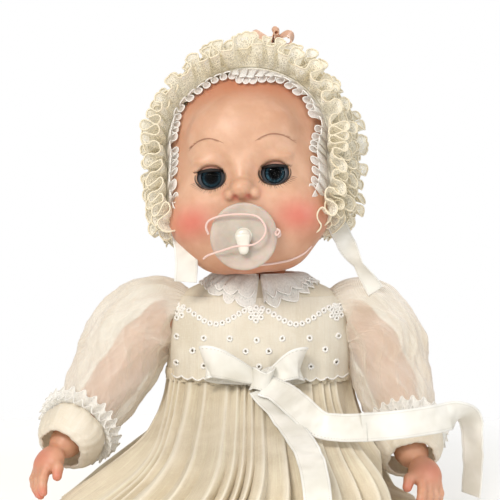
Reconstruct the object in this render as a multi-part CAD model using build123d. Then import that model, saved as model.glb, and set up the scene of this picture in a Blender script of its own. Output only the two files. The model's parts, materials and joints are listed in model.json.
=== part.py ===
"""Seated baby doll: hollow vinyl head and limbs plugged into a hollow torso, weighted sleep eyes, a lace
bonnet, a pleated dress with organza sleeves and a satin sash, and a toy pacifier on an elastic cord.

Millimetres. +Z is up, the doll faces -Y, and the origin is on the flat seat of the torso. "right" and "left"
are the doll's own, so right is on the -X side. Every piece is written to parts/ as its own STEP file.
"""
import os

from build123d import *

# ---------------------------------------------------------------- driving dimensions
WALL = 3.0  # moulded vinyl wall
FABRIC = 0.9  # cloth thickness
SKIN_GAP = 0.2  # clearance between pieces that only pass each other
RUN = 0.07  # radial running clearance of a plug in its hole

NECK = (0.0, 2.0, 102.0)  # top of the torso's neck ring, where the head turns
HEAD_PITCH, HEAD_ROLL, HEAD_YAW = -5.0, -3.5, -7.0  # how the head is held at rest, in degrees
NECK_R = 12.5
BALL_PROUD = 1.015  # how much the balls of a limb stand out of its bars

CRANIUM_RADII, CRANIUM_AT = (40.0, 44.0, 41.0), (0.0, 5.0, 66.0)
FACE_RADII, FACE_AT = (38.5, 37.0, 37.0), (0.0, -8.5, 46.0)

EYE_X, EYE_Z = 14.8, 53.0
BALL_R, BALL_Y = 8.2, -31.0  # eyeball radius, and where its centre lies behind the face
LID_THICK = 0.35
IRIS_R = 4.9
LID_ANGLE = 22.0  # the lid's edge above the line of sight when the eyes are open
AXLE_R = 0.8
CASE_R = BALL_R + 2.0

MOUTH_Z = 24.0
NIPPLE_R = 3.0
SHIELD_R = 15.4
SHIELD_Y = -47.8

SHOULDER_Y, SHOULDER_Z, SHOULDER_R = 2.0, 86.0, 8.0
HIP_Y, HIP_Z, HIP_R = -4.0, 20.0, 10.0
SHOULDER_X, HIP_X = 33.0, 27.0  # inner faces of the shoulder and hip rings
RING_LENGTH = 4.6
CLEAR_X = 45.2  # nothing of an arm but its round root comes nearer the middle than this

WAIST_Z = 61.0
RIBBON = 11.5  # width of the satin ribbon
RIBBON_THICK = 0.5

TORSO_SECTIONS = (  # height, half width, half depth
    (0.0, 20.0, 15.0),
    (5.0, 25.5, 22.0),
    (20.0, 31.0, 29.0),
    (40.0, 32.5, 31.0),
    (60.0, 36.5, 30.5),
    (80.0, 36.0, 26.0),
    (91.0, 31.0, 21.5),
    (99.0, 17.5, 17.0),
)
SKIRT_SECTIONS = (  # height, half width, half depth, centre y, centre x
    (0.0, 88.0, 100.0, -36.0, -12.0),
    (10.0, 78.0, 95.8, -38.8, -8.0),
    (20.0, 66.5, 92.0, -40.0, -3.5),
    (28.0, 57.5, 87.8, -39.3, -1.0),
    (36.0, 50.0, 77.5, -32.5, 0.0),
    (44.0, 46.3, 59.0, -17.0, 0.0),
    (52.0, 44.5, 46.0, -6.0, 0.0),
    (WAIST_Z, 43.0, 38.5, 0.0, 0.0),
)

# The head's own frame: origin on the neck ring, face towards -Y.
HEAD_TILT = Pos(*NECK) * Rot(HEAD_PITCH, HEAD_ROLL, 0)
HEAD = HEAD_TILT * Rot(0, 0, HEAD_YAW)

PARTS = {}


def part(name, shape):
    """Keeps a finished piece under the name of its node."""
    PARTS[name] = shape


# ---------------------------------------------------------------- shared shapes
def ellipsoid(radii, centre=(0, 0, 0)):
    return Pos(*centre) * scale(Sphere(1.0), by=tuple(float(r) for r in radii))


def post(radius, height, z=0.0):
    """Upright cylinder that starts at a height."""
    return Pos(0, 0, z) * Cylinder(radius, height, align=(Align.CENTER, Align.CENTER, Align.MIN))


def rod(radius, start, end):
    """Round bar from one point to another."""
    line = Vector(*end) - Vector(*start)
    return Plane(origin=start, z_dir=line) * post(radius, line.length)


def along_x(radius, x_from, x_to, y, z):
    return rod(radius, (x_from, y, z), (x_to, y, z))


def level_loft(sections):
    """Solid through ellipses at rising heights: height, half width, half depth, centre y, centre x."""
    rings = []
    for height, half_width, half_depth, *centre in sections:
        y, x = (centre + [0.0, 0.0])[:2]
        rings.append(Pos(x, y, height) * Ellipse(half_width, half_depth))
    return loft(rings)


def grown(sections, by):
    return [(z, a + by, b + by, *centre) for z, a, b, *centre in sections]


def limb_planes(points):
    """Planes square to the line of the points, turned as little as possible from one to the next."""
    planes = []
    across = None
    for i, point in enumerate(points):
        line = Vector(*points[min(i + 1, len(points) - 1)]) - Vector(*points[max(i - 1, 0)])
        line = line.normalized()
        if across is None:
            across = line.cross(Vector(0, 0.3, 1))
        across = (across - line * across.dot(line)).normalized()
        planes.append(Plane(origin=point, x_dir=across, z_dir=line))
    return planes


def limb(points, radii):
    """Jointed limb: tapered bars between the points, with a ball a little proud at each."""
    first = Plane(origin=points[0], z_dir=Vector(*points[1]) - Vector(*points[0]))
    body = first * Sphere(radii[0] * BALL_PROUD)
    for start, end, start_radius, end_radius in zip(points, points[1:], radii, radii[1:]):
        line = Vector(*end) - Vector(*start)
        upright = (Align.CENTER, Align.CENTER, Align.MIN)
        bar = Cone(start_radius, end_radius + 1e-3, line.length, align=upright)
        ball = Plane(origin=end, z_dir=line) * Sphere(end_radius * BALL_PROUD)
        body += Plane(origin=start, z_dir=line) * bar + ball
    return body


def cavity(points, radii):
    """Hollow along a limb: round bars and balls, one wall inside its skin."""
    hollow = Pos(*points[0]) * Sphere(radii[0] - WALL)
    for start, end, radius in zip(points, points[1:], radii[1:]):
        hollow += rod(radius - WALL, start, end) + Pos(*end) * Sphere(radius - WALL)
    return hollow


def keep_largest(shape):
    return max(shape.solids(), key=lambda s: s.volume)


def strip(points, width_dir, width=RIBBON, thick=RIBBON_THICK):
    """Ribbon: flat bands along straight runs between the points, its width along width_dir."""
    wide = Vector(*width_dir).normalized()
    path = Polyline(*points)
    first = (Vector(*points[1]) - Vector(*points[0])).normalized()
    section = Plane(origin=points[0], x_dir=wide, z_dir=first) * Rectangle(width, thick)
    return sweep(section, path=path, transition=Transition.RIGHT)


# ---------------------------------------------------------------- torso
def torso():
    body = level_loft(TORSO_SECTIONS)
    hollow = level_loft([(z + (WALL if z < 1 else 0), a - WALL, b - WALL) for z, a, b in TORSO_SECTIONS])
    # the cavity stops under the shoulders' crown, so that the neck ring has a wall around it
    body -= hollow & Pos(0, 0, 44) * Box(200, 200, 100)
    joints = ((SHOULDER_X, SHOULDER_Y, SHOULDER_Z, SHOULDER_R), (HIP_X, HIP_Y, HIP_Z, HIP_R))
    for x, y, z, r in joints:
        for side in (1, -1):
            body += along_x(r + 4, side * (x - 0.5), side * (x + RING_LENGTH), y, z)
            body -= along_x(r + 7, side * (x + RING_LENGTH), side * 60, y, z)
            body -= along_x(r + RUN, side * (x - 12), side * 60, y, z)
            body -= along_x(r + 3.5, side * (x - 12), side * x, y, z)
    body += HEAD_TILT * post(NECK_R + 3.6, 4, -4)
    body -= HEAD_TILT * post(NECK_R + RUN, 40, -20)
    body -= HEAD_TILT * post(NECK_R + 2.6, 12, -16)
    part("torso_shell", keep_largest(body))


# ---------------------------------------------------------------- head
def neck_plug():
    """Neck with the groove that snaps into the torso's ring, in the head's frame."""
    plug = post(NECK_R + 1.8, 22, SKIN_GAP)
    plug += post(NECK_R, 8, -5)
    plug += post(NECK_R + 1.8, 7.2 - 4 - SKIN_GAP, -7.2)
    return plug


def head_shell():
    skin = ellipsoid(CRANIUM_RADII, CRANIUM_AT) + ellipsoid(FACE_RADII, FACE_AT) + neck_plug()
    for side in (1, -1):
        skin += ellipsoid((4.0, 6.0, 9.5), (side * 39.0, 3.0, 47.0))  # ears
    skin += ellipsoid((6.5, 5.0, 4.6), (0, -42.3, 44.4))  # nose
    hollow = ellipsoid([r - WALL for r in CRANIUM_RADII], CRANIUM_AT)
    hollow += ellipsoid([r - WALL for r in FACE_RADII], FACE_AT)
    hollow += post(NECK_R - WALL, 40, 2)
    skin -= hollow
    for side in (1, -1):
        opening = [
            Plane.XZ.offset(33) * Pos(side * EYE_X, EYE_Z) * Ellipse(7.0, 5.6),
            Plane.XZ.offset(48) * Pos(side * EYE_X, EYE_Z) * Ellipse(8.6, 7.2),
        ]
        skin -= loft(opening)
        # room for the ball and its lid, and behind that for the case
        skin -= Pos(side * EYE_X, BALL_Y, EYE_Z) * Sphere(BALL_R + LID_THICK + 0.4)
        behind = Pos(0, 20 - 4.5, 0) * Box(60, 40, 60)
        skin -= Pos(side * EYE_X, BALL_Y, EYE_Z) * (Sphere(CASE_R + SKIN_GAP) & behind)
    skin -= rod(NIPPLE_R + 0.06, (0, -60, MOUTH_Z), (0, -25, MOUTH_Z))
    part("head_shell", HEAD * keep_largest(skin))


def eye(side, name):
    """One sleep-eye unit: case, ball, iris, lens, lid, lashes, axle and pendulum weight."""
    place = HEAD * Pos(side * EYE_X, BALL_Y, EYE_Z)
    front = Plane.XZ  # its normal points to -Y, the way the doll looks
    whole = Sphere(BALL_R)
    ball = whole - Sphere(BALL_R - 1.3)
    ball += whole & front.offset(BALL_R - 4.4) * post(IRIS_R + 0.8, 10)
    ball -= front.offset(BALL_R - 3.4) * post(IRIS_R, 10)
    ball -= rod(AXLE_R, (-20, 0, 0), (20, 0, 0))
    iris = front.offset(BALL_R - 3.4) * post(IRIS_R, 0.6)
    lens = whole & front.offset(BALL_R - 2.8) * post(IRIS_R, 10)
    keep = Rot(-LID_ANGLE, 0, 0) * Pos(0, -10, 10) * Box(40, 20, 20)  # in front of and above the lid's edge
    lid = (Sphere(BALL_R + LID_THICK) - whole) & keep
    lid -= rod(AXLE_R + 1.2, (-20, 0, 0), (20, 0, 0))
    lash_band = Cylinder(BALL_R + 1.2, 0.3) - Cylinder(BALL_R + LID_THICK, 0.3)
    lashes = Rot(-LID_ANGLE - 2, 0, 0) * (lash_band & Pos(0, -10, 0) * Box(6.4, 20, 1))
    axle = rod(AXLE_R, (0.3 - CASE_R, 0, 0), (CASE_R - 0.3, 0, 0))
    weight = rod(0.9, (0, 3, -BALL_R + 0.7), (0, 3, -14))
    weight += Pos(0, 3, -15.5) * Sphere(2.9)
    weight -= whole
    case = (Sphere(CASE_R) - Sphere(BALL_R + LID_THICK + 0.35)) & Pos(0, 20 - 1.5, 0) * Box(40, 40, 40)
    case -= Pos(0, 10, -12) * Box(7.0, 40, 27)  # the slot that the pendulum swings in
    case -= rod(AXLE_R + 0.06, (-20, 0, 0), (20, 0, 0))
    part(f"eye_case_{name}", place * case)
    part(f"eyeball_{name}", place * ball)
    part(f"iris_{name}", place * iris)
    part(f"eye_lens_{name}", place * lens)
    part(f"eyelid_{name}", place * lid)
    part(f"eyelashes_{name}", place * lashes)
    part(f"eye_axle_{name}", place * axle)
    part(f"eye_weight_{name}", place * weight)


# ---------------------------------------------------------------- pacifier
def pacifier():
    mouth = HEAD * Pos(0, 0, MOUTH_Z)
    disc = Plane.XZ.offset(-SHIELD_Y) * post(SHIELD_R, 1.4)
    part("pacifier_shield", mouth * fillet(disc.edges(), 0.5))
    nipple = rod(NIPPLE_R, (0, SHIELD_Y, 0), (0, SHIELD_Y + 15, 0))
    part("pacifier_nipple", mouth * nipple)
    knob = rod(3.4, (0, SHIELD_Y - 1.4, 0), (0, SHIELD_Y - 5.0, 0))
    knob += Pos(0, SHIELD_Y - 4.4, -3.4) * Box(6.0, 3.0, 9.0)
    knob -= rod(1.0, (-10, SHIELD_Y - 4.4, -1), (10, SHIELD_Y - 4.4, -1))
    part("pacifier_knob", mouth * knob)
    # one loop of cord standing off the shield, from the knob's hole round to the shield's edge
    run_y = SHIELD_Y - 4.4
    loop_xz = ((4.2, -1), (8.6, 1.5), (7.0, 8), (-4, 11.5), (-14.5, 8))
    loop = Spline(*[(x, run_y, z) for x, z in loop_xz])
    loop_start = Plane(origin=loop @ 0, z_dir=loop % 0)
    part("pacifier_cord_loop", mouth * sweep(loop_start * Circle(0.6), path=loop))
    # the rest of the cord, round the neck
    ring = Pos(0, 0, 5) * Torus(NECK_R + 3.2, 0.6)
    part("pacifier_cord_neck", HEAD * ring)


# ---------------------------------------------------------------- bonnet
BONNET_TILT = 24.0  # the face edge leans back as it rises
BONNET_GAP, RUFFLE_GAP, RUFFLE_OUT = 1.6, 3.4, 12.5
ROWS = 5
ROW_STEP = 9.4


def over_cranium(out):
    """The cranium grown by a distance, joined to the cheeks grown the same."""
    crown = ellipsoid([r + out for r in CRANIUM_RADII], CRANIUM_AT)
    cheeks = ellipsoid([r + out for r in FACE_RADII], FACE_AT)
    return crown + cheeks


def bonnet_slab(start, length):
    """Block behind the tilted face edge, between two distances back from it."""
    lean = Pos(0, -14, 64) * Rot(-BONNET_TILT, 0, 0)
    return lean * Pos(0, start + length / 2, 0) * Box(200, length, 260)


def bonnet():
    below = Pos(0, 0, -82) * Box(300, 300, 200)  # everything under the nape and jaw line
    around_neck = Cylinder(30, 60)
    cap = over_cranium(BONNET_GAP + FABRIC) - over_cranium(BONNET_GAP)
    cap = (cap & bonnet_slab(1, 120)) - below - around_neck
    ears = ellipsoid((6.5, 9.5, 12.5), (39.5, 3.0, 47.0)) + ellipsoid((6.5, 9.5, 12.5), (-39.5, 3.0, 47.0))
    cap -= ears
    part("bonnet_cap", HEAD * keep_largest(cap))
    ruffles = over_cranium(RUFFLE_OUT) - over_cranium(RUFFLE_GAP) - below - around_neck - ears
    for row in range(ROWS):
        band = ruffles & bonnet_slab(row * ROW_STEP + SKIN_GAP, ROW_STEP - 2 * SKIN_GAP)
        part(f"bonnet_ruffle_{row + 1}", HEAD * keep_largest(band))
    for side, name in ((1, "left"), (-1, "right")):
        tie = strip(((side * 42, 8, 16.8), (side * 42, 13, 13.0), (side * 42, 18, 11.5)), (0, 0.2, 1), 9)
        part(f"bonnet_tie_{name}", HEAD * tie)
    crown = CRANIUM_AT[2] + CRANIUM_RADII[2] + RUFFLE_OUT
    bow = ellipsoid((9, 5, 4), (12, 10, crown + 3.4))
    part("bonnet_ribbon_knot", HEAD * bow)


# ---------------------------------------------------------------- limbs
def plug(side, ring_x, y, z, radius, cap_radius, cap_x):
    """Mushroom plug of a limb: inner flange, neck in the ring, and the limb's own round root outside."""
    inner, outer = ring_x - SKIN_GAP, ring_x + RING_LENGTH + SKIN_GAP
    shape = along_x(radius + 2.0, side * (inner - 2.2), side * inner, y, z)
    shape += along_x(radius, side * (inner - 1), side * (outer + 1), y, z)
    shape += along_x(cap_radius, side * outer, side * cap_x, y, z)
    return shape


ARM_LINES = {  # shoulder, upper arm, elbow, forearm, wrist
    "right": ((-45, 2, 86), (-57, 1, 76), (-69, -5, 60), (-79, -20, 47), (-88, -36, 36)),
    "left": ((45, 2, 86), (55.5, 0, 76), (63.5, -9, 59), (66, -26, 46), (68, -44, 33)),
}
ARM_RADII = (12.0, 11.5, 10.8, 9.6, 7.6)
HANDS = {  # palm centre, then where the four fingers point, then the thumb
    "right": ((-97.0, -47.0, 27.0), (-0.5, -0.45, -0.75), (0.55, -0.8, 0.2)),
    "left": ((75.0, -57.0, 23.0), (0.25, -0.55, -0.8), (-0.75, -0.65, 0.1)),
}


def beyond(x, side):
    """Everything further from the middle than x, on one side."""
    return Pos(side * (x + 100), 0, 60) * Box(200, 400, 400)


def mirrored(shape, side):
    """side is +1 for the doll's left as modelled, -1 for its right."""
    return shape if side > 0 else mirror(shape, about=Plane.YZ)


def arm(name, side):
    line = ARM_LINES[name]
    body = limb(line, ARM_RADII) & beyond(CLEAR_X, side)
    body += plug(side, SHOULDER_X, SHOULDER_Y, SHOULDER_Z, SHOULDER_R, 12.6, CLEAR_X + 3)
    palm, fingers, thumb = HANDS[name]
    hand = limb((line[-1], palm), (6.4, 8.2))
    tip = tuple(p + 12 * f for p, f in zip(palm, fingers))
    across = Vector(*fingers).cross(Vector(*thumb)).cross(Vector(*fingers)).normalized()
    for i in range(4):
        shift = across * ((i - 1.5) * 3.4)
        hand += limb((tuple(Vector(*palm) + shift), tuple(Vector(*tip) + shift)), (2.7, 2.2))
    hand += limb((palm, tuple(p + 10 * t for p, t in zip(palm, thumb))), (4.0, 2.8))
    part(f"arm_{name}", keep_largest(body + hand - cavity(line[1:-1], ARM_RADII[1:-1])))


SLEEVE_RADII = (15.0, 17.0, 17.6, 17.0, 15.2)
CUFF_BACK, CUFF_LENGTH = 8.0, 15.0  # where the cuff starts above the wrist, and how long it is


def cone(start, end, start_radius, end_radius):
    line = end - start
    rings = [(start, start_radius), (end, end_radius)]
    return loft([Plane(origin=point, z_dir=line) * Circle(radius) for point, radius in rings])


def sleeve(name, side):
    """Puffed sleeve, its turned-back cuff, and the lace round the cuff."""
    line = [Vector(*p) for p in ARM_LINES[name]]
    wrist_run = (line[-1] - line[-2]).normalized()
    end = line[-1] - wrist_run * CUFF_BACK
    start = Vector(side * (CLEAR_X + 0.4), SHOULDER_Y, SHOULDER_Z - 2)
    points = [tuple(p) for p in (start, line[1] + Vector(side * 3, 0, 0), line[2], line[3], end)]
    planes = limb_planes(points)
    planes[0] = Plane(origin=points[0], x_dir=planes[0].x_dir, z_dir=(side, 0, -0.3))
    outer = loft([plane * Circle(r) for plane, r in zip(planes, SLEEVE_RADII)])
    inner = loft([plane * Circle(r - FABRIC) for plane, r in zip(planes, SLEEVE_RADII)])
    tube = (outer - inner) & beyond(CLEAR_X, side)
    part(f"sleeve_{name}", keep_largest(tube))
    cuff_from, cuff_to = end + wrist_run * SKIN_GAP, end + wrist_run * CUFF_LENGTH
    cuff = cone(cuff_from, cuff_to, 14.6, 16.4)
    part(f"cuff_{name}", cuff - cone(cuff_from, cuff_to, 13.4, 15.2))
    lace_low, lace_high = end + wrist_run * 1.0, end + wrist_run * 6.0
    lace = cone(lace_low, lace_high, 19.4, 17.0) - cone(lace_low, lace_high, 18.2, 15.8)
    part(f"cuff_lace_{name}", lace - cuff)


LEG_LINE = (  # hip, thigh, thigh, knee, shin, ankle
    (38.0, -4.0, 20.0),
    (42.0, -16.0, 18.0),
    (40.5, -28.0, 16.5),
    (34.0, -48.0, 15.5),
    (29.0, -72.0, 14.0),
    (25.0, -92.0, 12.0),
)
LEG_RADII = (12.0, 11.0, 10.6, 11.2, 10.6, 8.5)
THIGH_CROSSES = 9.0  # how far inside the hip's clearance line the thigh may reach


def leg(name, side):
    body = limb(LEG_LINE, LEG_RADII) & beyond(HIP_X + RING_LENGTH + SKIN_GAP - THIGH_CROSSES, 1)
    # near the hip only the round root comes close to the torso
    body -= along_x(29, 0, HIP_X + RING_LENGTH + SKIN_GAP, HIP_Y, HIP_Z)
    body += plug(1, HIP_X, HIP_Y, HIP_Z, HIP_R, 12.6, 38.0)
    foot = limb(((25.0, -92.0, 12.0), (24.5, -96.0, 18.0), (24.0, -98.5, 24.0)), (8.8, 8.2, 6.6))
    for i in range(5):
        toe = (18.6 + 2.9 * i, -99.5, 30.4 - 0.9 * i)
        foot += limb(((24.0, -97.0, 22.0), toe), (2.4, 2.9 - 0.25 * i))
    part(f"leg_{name}", mirrored(keep_largest(body + foot - cavity(LEG_LINE[1:-1], LEG_RADII[1:-1])), side))


# ---------------------------------------------------------------- dress
BODICE_SECTIONS = (
    (WAIST_Z + 5.4, 43.5, 36.0, 0.0),
    (76.0, 43.5, 34.5, 0.0),
    (88.0, 42.6, 30.0, 1.0),
    (98.0, 34.0, 24.0, 2.0),
    (104.5, 20.5, 19.5, 2.0),
)


def bodice():
    cloth = level_loft(BODICE_SECTIONS) - level_loft(grown(BODICE_SECTIONS, -FABRIC))
    for side in (1, -1):
        cloth -= along_x(13.6, side * 25, side * 80, SHOULDER_Y, SHOULDER_Z)
    cloth -= HEAD_TILT * post(NECK_R + 4.4, 40, -6)
    part("bodice_front", keep_largest(cloth & Pos(0, -100.1, 80) * Box(200, 200, 200)))
    for side, name in ((1, "left"), (-1, "right")):
        panel = cloth & Pos(side * 100.15, 100.1, 80) * Box(200, 200, 200)
        part(f"bodice_back_{name}", keep_largest(panel))
    # eyelet overlay across the chest, just proud of the bodice front
    over = level_loft(grown(BODICE_SECTIONS, 1.1))
    band = (over - level_loft(grown(BODICE_SECTIONS, 0.25))) & Pos(0, -60, 79.2) * Box(80, 100, 25)
    for side in (1, -1):
        band -= along_x(13.6, side * 25, side * 80, SHOULDER_Y, SHOULDER_Z)
    part("eyelet_overlay", keep_largest(band))
    # buttons down the back opening
    button = Rot(90, 0, 0) * Cylinder(2.8, 1.4)
    places = ((38.4, 70), (36.7, 80), (31.2, 90))
    part("back_buttons", Compound(children=[Pos(0, y, z) * button - over for y, z in places]))


def collar():
    sections = ((97.5, 34.0, 27.0, 0.0), (104.0, 25.0, 23.0, 1.0), (109.0, 22.5, 21.5, 2.0))
    lace = level_loft(sections) - level_loft(grown(sections, -1.0))
    lace -= level_loft([(z + 0.4, a + 0.5, b + 0.5, y) for z, a, b, y in BODICE_SECTIONS])
    for side in (1, -1):
        lace -= along_x(17.5, side * 25, side * 80, SHOULDER_Y, SHOULDER_Z)
    part("collar_lace", keep_largest(lace))


PRESS_FROM, PRESS_TO, PRESS_R = (64.5, 2.0, 66.0), (69.5, -66.0, 18.0), 20.8


def skirt():
    """Pleated skirt over the legs, pressed in where the left forearm rests against it."""
    run = (Vector(*PRESS_TO) - Vector(*PRESS_FROM)).normalized()
    cloth = level_loft(SKIRT_SECTIONS) - rod(PRESS_R, PRESS_FROM, PRESS_TO)
    inner_press = rod(PRESS_R + FABRIC, PRESS_FROM, tuple(Vector(*PRESS_TO) + run * FABRIC))
    cloth -= level_loft(grown(SKIRT_SECTIONS, -FABRIC)) - inner_press
    part("skirt", keep_largest(cloth))
    sections = ((WAIST_Z + 0.3, 44.2, 38.0), (WAIST_Z + 5.0, 44.4, 37.4))
    part("waistband", level_loft(sections) - level_loft(grown(sections, -1.0)))


# ---------------------------------------------------------------- sash
KNOT = Vector(1.0, -43.0, WAIST_Z + 3.5)


def sash():
    part("sash_knot", Pos(*KNOT) * fillet(Box(6.5, 5.0, 6.0).edges(), 1.4))
    loop = extrude(Plane.XZ * (Ellipse(9.5, 5.2) - Ellipse(9.0, 4.7)), 4.0, both=True)
    for side, name in ((1, "left"), (-1, "right")):
        part(f"sash_loop_{name}", Pos(*KNOT) * Pos(side * 13.2, -0.5, 4.5) * Rot(0, -side * 24, 0) * loop)
    down_lap = (
        tuple(KNOT + Vector(-1.5, -3.4, -4)),
        (5.0, -64.0, 51.8),
        (12.0, -84.0, 44.6),
        (19.0, -109.0, 39.5),
        (23.0, -127.0, 32.5),
        (25.0, -135.0, 22.0),
        (25.5, -138.0, 12.0),
    )
    part("sash_tail_short", strip(down_lap, (1, 0.15, 0.1)))
    to_the_arm = ((9.0, -50.5, 60.5), (16.5, -68.0, 55.0), (23.0, -84.0, 51.5), (43.0, -81.0, 52.0))
    part("sash_tail_long", strip(to_the_arm, (0.1, 0.3, 1)))
    over_the_arm = ((44.0, -80.8, 52.0), (80.0, -67.0, 52.0), (92.0, -54.0, 50.0), (95.0, -47.0, 14.0))
    part("sash_tail_draped", strip(over_the_arm, (0.1, 0.4, 1)))


def build():
    torso()
    head_shell()
    pacifier()
    bonnet()
    for side, name in ((1, "left"), (-1, "right")):
        eye(side, name)
        arm(name, side)
        sleeve(name, side)
        leg(name, side)
    bodice()
    collar()
    skirt()
    sash()


build()
os.makedirs("parts", exist_ok=True)
for node, shape in PARTS.items():
    export_step(shape, f"parts/{node}.step")
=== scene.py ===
"""Looks of the seated baby doll: sculpted vinyl, gathered lace, pleated cotton, organza and satin.

Everything is worked out in millimetres in the row's frame and turned into metres when a mesh is made.
"""
import json
import math

import bpy
import numpy as np
import mathutils
import openvdb
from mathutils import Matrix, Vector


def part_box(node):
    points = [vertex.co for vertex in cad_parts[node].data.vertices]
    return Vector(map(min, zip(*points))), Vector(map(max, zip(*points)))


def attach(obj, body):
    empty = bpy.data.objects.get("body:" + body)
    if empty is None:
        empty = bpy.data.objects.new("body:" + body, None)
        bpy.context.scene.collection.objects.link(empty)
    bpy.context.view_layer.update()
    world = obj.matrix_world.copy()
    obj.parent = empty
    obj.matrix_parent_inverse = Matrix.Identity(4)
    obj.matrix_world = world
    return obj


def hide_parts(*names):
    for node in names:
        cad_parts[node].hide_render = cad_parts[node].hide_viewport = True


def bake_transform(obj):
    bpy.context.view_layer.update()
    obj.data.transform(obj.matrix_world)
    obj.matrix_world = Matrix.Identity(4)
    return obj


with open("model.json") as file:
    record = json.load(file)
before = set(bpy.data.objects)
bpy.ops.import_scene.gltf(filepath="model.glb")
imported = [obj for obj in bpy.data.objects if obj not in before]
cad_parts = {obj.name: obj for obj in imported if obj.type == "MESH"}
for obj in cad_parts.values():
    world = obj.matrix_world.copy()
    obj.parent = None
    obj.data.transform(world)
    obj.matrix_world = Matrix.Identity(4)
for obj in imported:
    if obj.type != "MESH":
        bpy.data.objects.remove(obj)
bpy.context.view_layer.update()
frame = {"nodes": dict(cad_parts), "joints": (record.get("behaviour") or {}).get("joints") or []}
JOINTS = {j["name"]: j for j in frame["joints"]}
MM = 0.001
SIGN = {"left": 1, "right": -1}


# ---------------------------------------------------------------- small helpers
def vec(*values):
    return np.array(values, float)


def unit(v):
    v = np.asarray(v, float)
    return v / np.maximum(np.linalg.norm(v, axis=-1, keepdims=True), 1e-9)


def box_mm(node):
    low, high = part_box(node)
    return np.array(low) / MM, np.array(high) / MM


def centre_mm(node):
    low, high = box_mm(node)
    return (low + high) / 2


def circle(count):
    """Even angles once round, without the last one."""
    return np.linspace(0, 2 * np.pi, count, endpoint=False)


def lerp(a, b, t):
    return a + (b - a) * t


def ease(a, b, x):
    """0 below a, 1 above b, smooth between."""
    t = np.clip((np.asarray(x, float) - a) / (b - a), 0, 1)
    return t * t * (3 - 2 * t)


def smooth_min(a, b, k):
    h = np.clip(0.5 + 0.5 * (b - a) / k, 0, 1)
    return b * (1 - h) + a * h - k * h * (1 - h)


def near(points, centre, spread):
    """1 at the centre, fading to 0 over the spread."""
    return np.exp(-np.sum(((points - np.asarray(centre)) / np.asarray(spread)) ** 2, axis=1))


def along(count, stops, values):
    """Values at even steps from 0 to 1, read off a table of stops."""
    return np.interp(np.linspace(0, 1, count), stops, values)


def read_table(table, z):
    """The table's other columns at heights z of its first."""
    return (np.interp(z, table[:, 0], table[:, k]) for k in range(1, table.shape[1]))


def lengths(path):
    """How far along the path each of its points lies."""
    return np.concatenate([[0], np.cumsum(np.linalg.norm(np.diff(path, axis=0), axis=1))])


def spline(points, count):
    """Smooth curve through the points, as evenly spaced samples."""
    p = np.array(points, float)
    p = np.vstack([2 * p[0] - p[1], p, 2 * p[-1] - p[-2]])
    dense = []
    for i in range(1, len(p) - 2):
        t = np.linspace(0, 1, 24, endpoint=False)[:, None]
        a, b, c, d = p[i - 1], p[i], p[i + 1], p[i + 2]
        bend = (2 * a - 5 * b + 4 * c - d) * t**2
        dense.append(0.5 * (2 * b + (c - a) * t + bend + (3 * b - a - 3 * c + d) * t**3))
    dense = np.vstack(dense + [p[-2][None]])
    length = lengths(dense)
    at = np.linspace(0, length[-1], count)
    return np.stack([np.interp(at, length, dense[:, k]) for k in range(dense.shape[1])], axis=1)


def wander(count, scale, seed):
    """Smooth random values between about -1 and 1, changing over about `scale` samples."""
    knots = np.random.default_rng(seed).uniform(-1, 1, int(count / scale) + 4)
    at = np.linspace(0, len(knots) - 3.001, count)
    i = at.astype(int)
    t = at - i
    t = t * t * (3 - 2 * t)
    return knots[i] * (1 - t) + knots[i + 1] * t


# ---------------------------------------------------------------- meshes
def make(name, points, faces, material, body=None, stands_for=(), slot=None, tags=None, thickness=0.0):
    """Mesh object from points in millimetres, riding on a body, standing in for nodes of the frame.

    Each tag is a number or a vector for every point. A thickness turns a sheet into cloth.
    """
    points = np.asarray(points, float).reshape(-1, 3) * MM
    faces = np.asarray(faces, np.int32)
    mesh = bpy.data.meshes.new(name)
    mesh.vertices.add(len(points))
    mesh.vertices.foreach_set("co", points.astype(np.float32).ravel())
    mesh.loops.add(faces.size)
    mesh.loops.foreach_set("vertex_index", faces.ravel())
    mesh.polygons.add(len(faces))
    mesh.polygons.foreach_set("loop_start", np.arange(len(faces), dtype=np.int32) * faces.shape[1])
    mesh.update(calc_edges=True)
    mesh.validate()
    mesh.polygons.foreach_set("use_smooth", np.ones(len(mesh.polygons), bool))
    for key, values in (tags or {}).items():
        values = np.asarray(values, np.float32).ravel()
        single = len(values) == len(points)
        attribute = mesh.attributes.new(key, "FLOAT" if single else "FLOAT_VECTOR", "POINT")
        attribute.data.foreach_set("value" if single else "vector", values)
    mesh.materials.append(material)
    obj = bpy.data.objects.new(name, mesh)
    bpy.context.scene.collection.objects.link(obj)
    if body:
        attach(obj, body)
    if stands_for:
        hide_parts(*stands_for)
    if thickness:
        solid = obj.modifiers.new("thickness", "SOLIDIFY")
        solid.thickness = thickness * MM
        solid.offset = 0.0
        solid.use_even_offset = False
    return obj


def make_all(name, parts, *rest, place=np.asarray):
    """One object from several (points, faces) parts, put in place together."""
    points, faces = merge(parts)
    return make(name, place(points), faces, *rest)


def grid_faces(rows, columns, wrap=False):
    """Quads of a grid of points stored row by row; wrap joins the last column to the first."""
    last = columns if wrap else columns - 1
    r, c = np.meshgrid(np.arange(rows - 1) * columns, np.arange(last), indexing="ij")
    d = (c + 1) % columns
    return np.stack([r + c, r + d, r + columns + d, r + columns + c], axis=-1).reshape(-1, 4)


def fan_faces(middle, first, count, flip=False):
    """Faces from a middle point to a ring of points starting at `first`."""
    k = np.arange(count)
    here, beyond = first + k, first + (k + 1) % count
    if flip:
        here, beyond = beyond, here
    return np.stack([np.full(count, middle), beyond, here, here], axis=1)


def merge(parts):
    """Joins (points, faces) pairs into one."""
    points, faces, base = [], [], 0
    for p, f in parts:
        points.append(np.asarray(p, float).reshape(-1, 3))
        faces.append(np.asarray(f) + base)
        base += len(points[-1])
    return np.vstack(points), np.vstack(faces)


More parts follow.
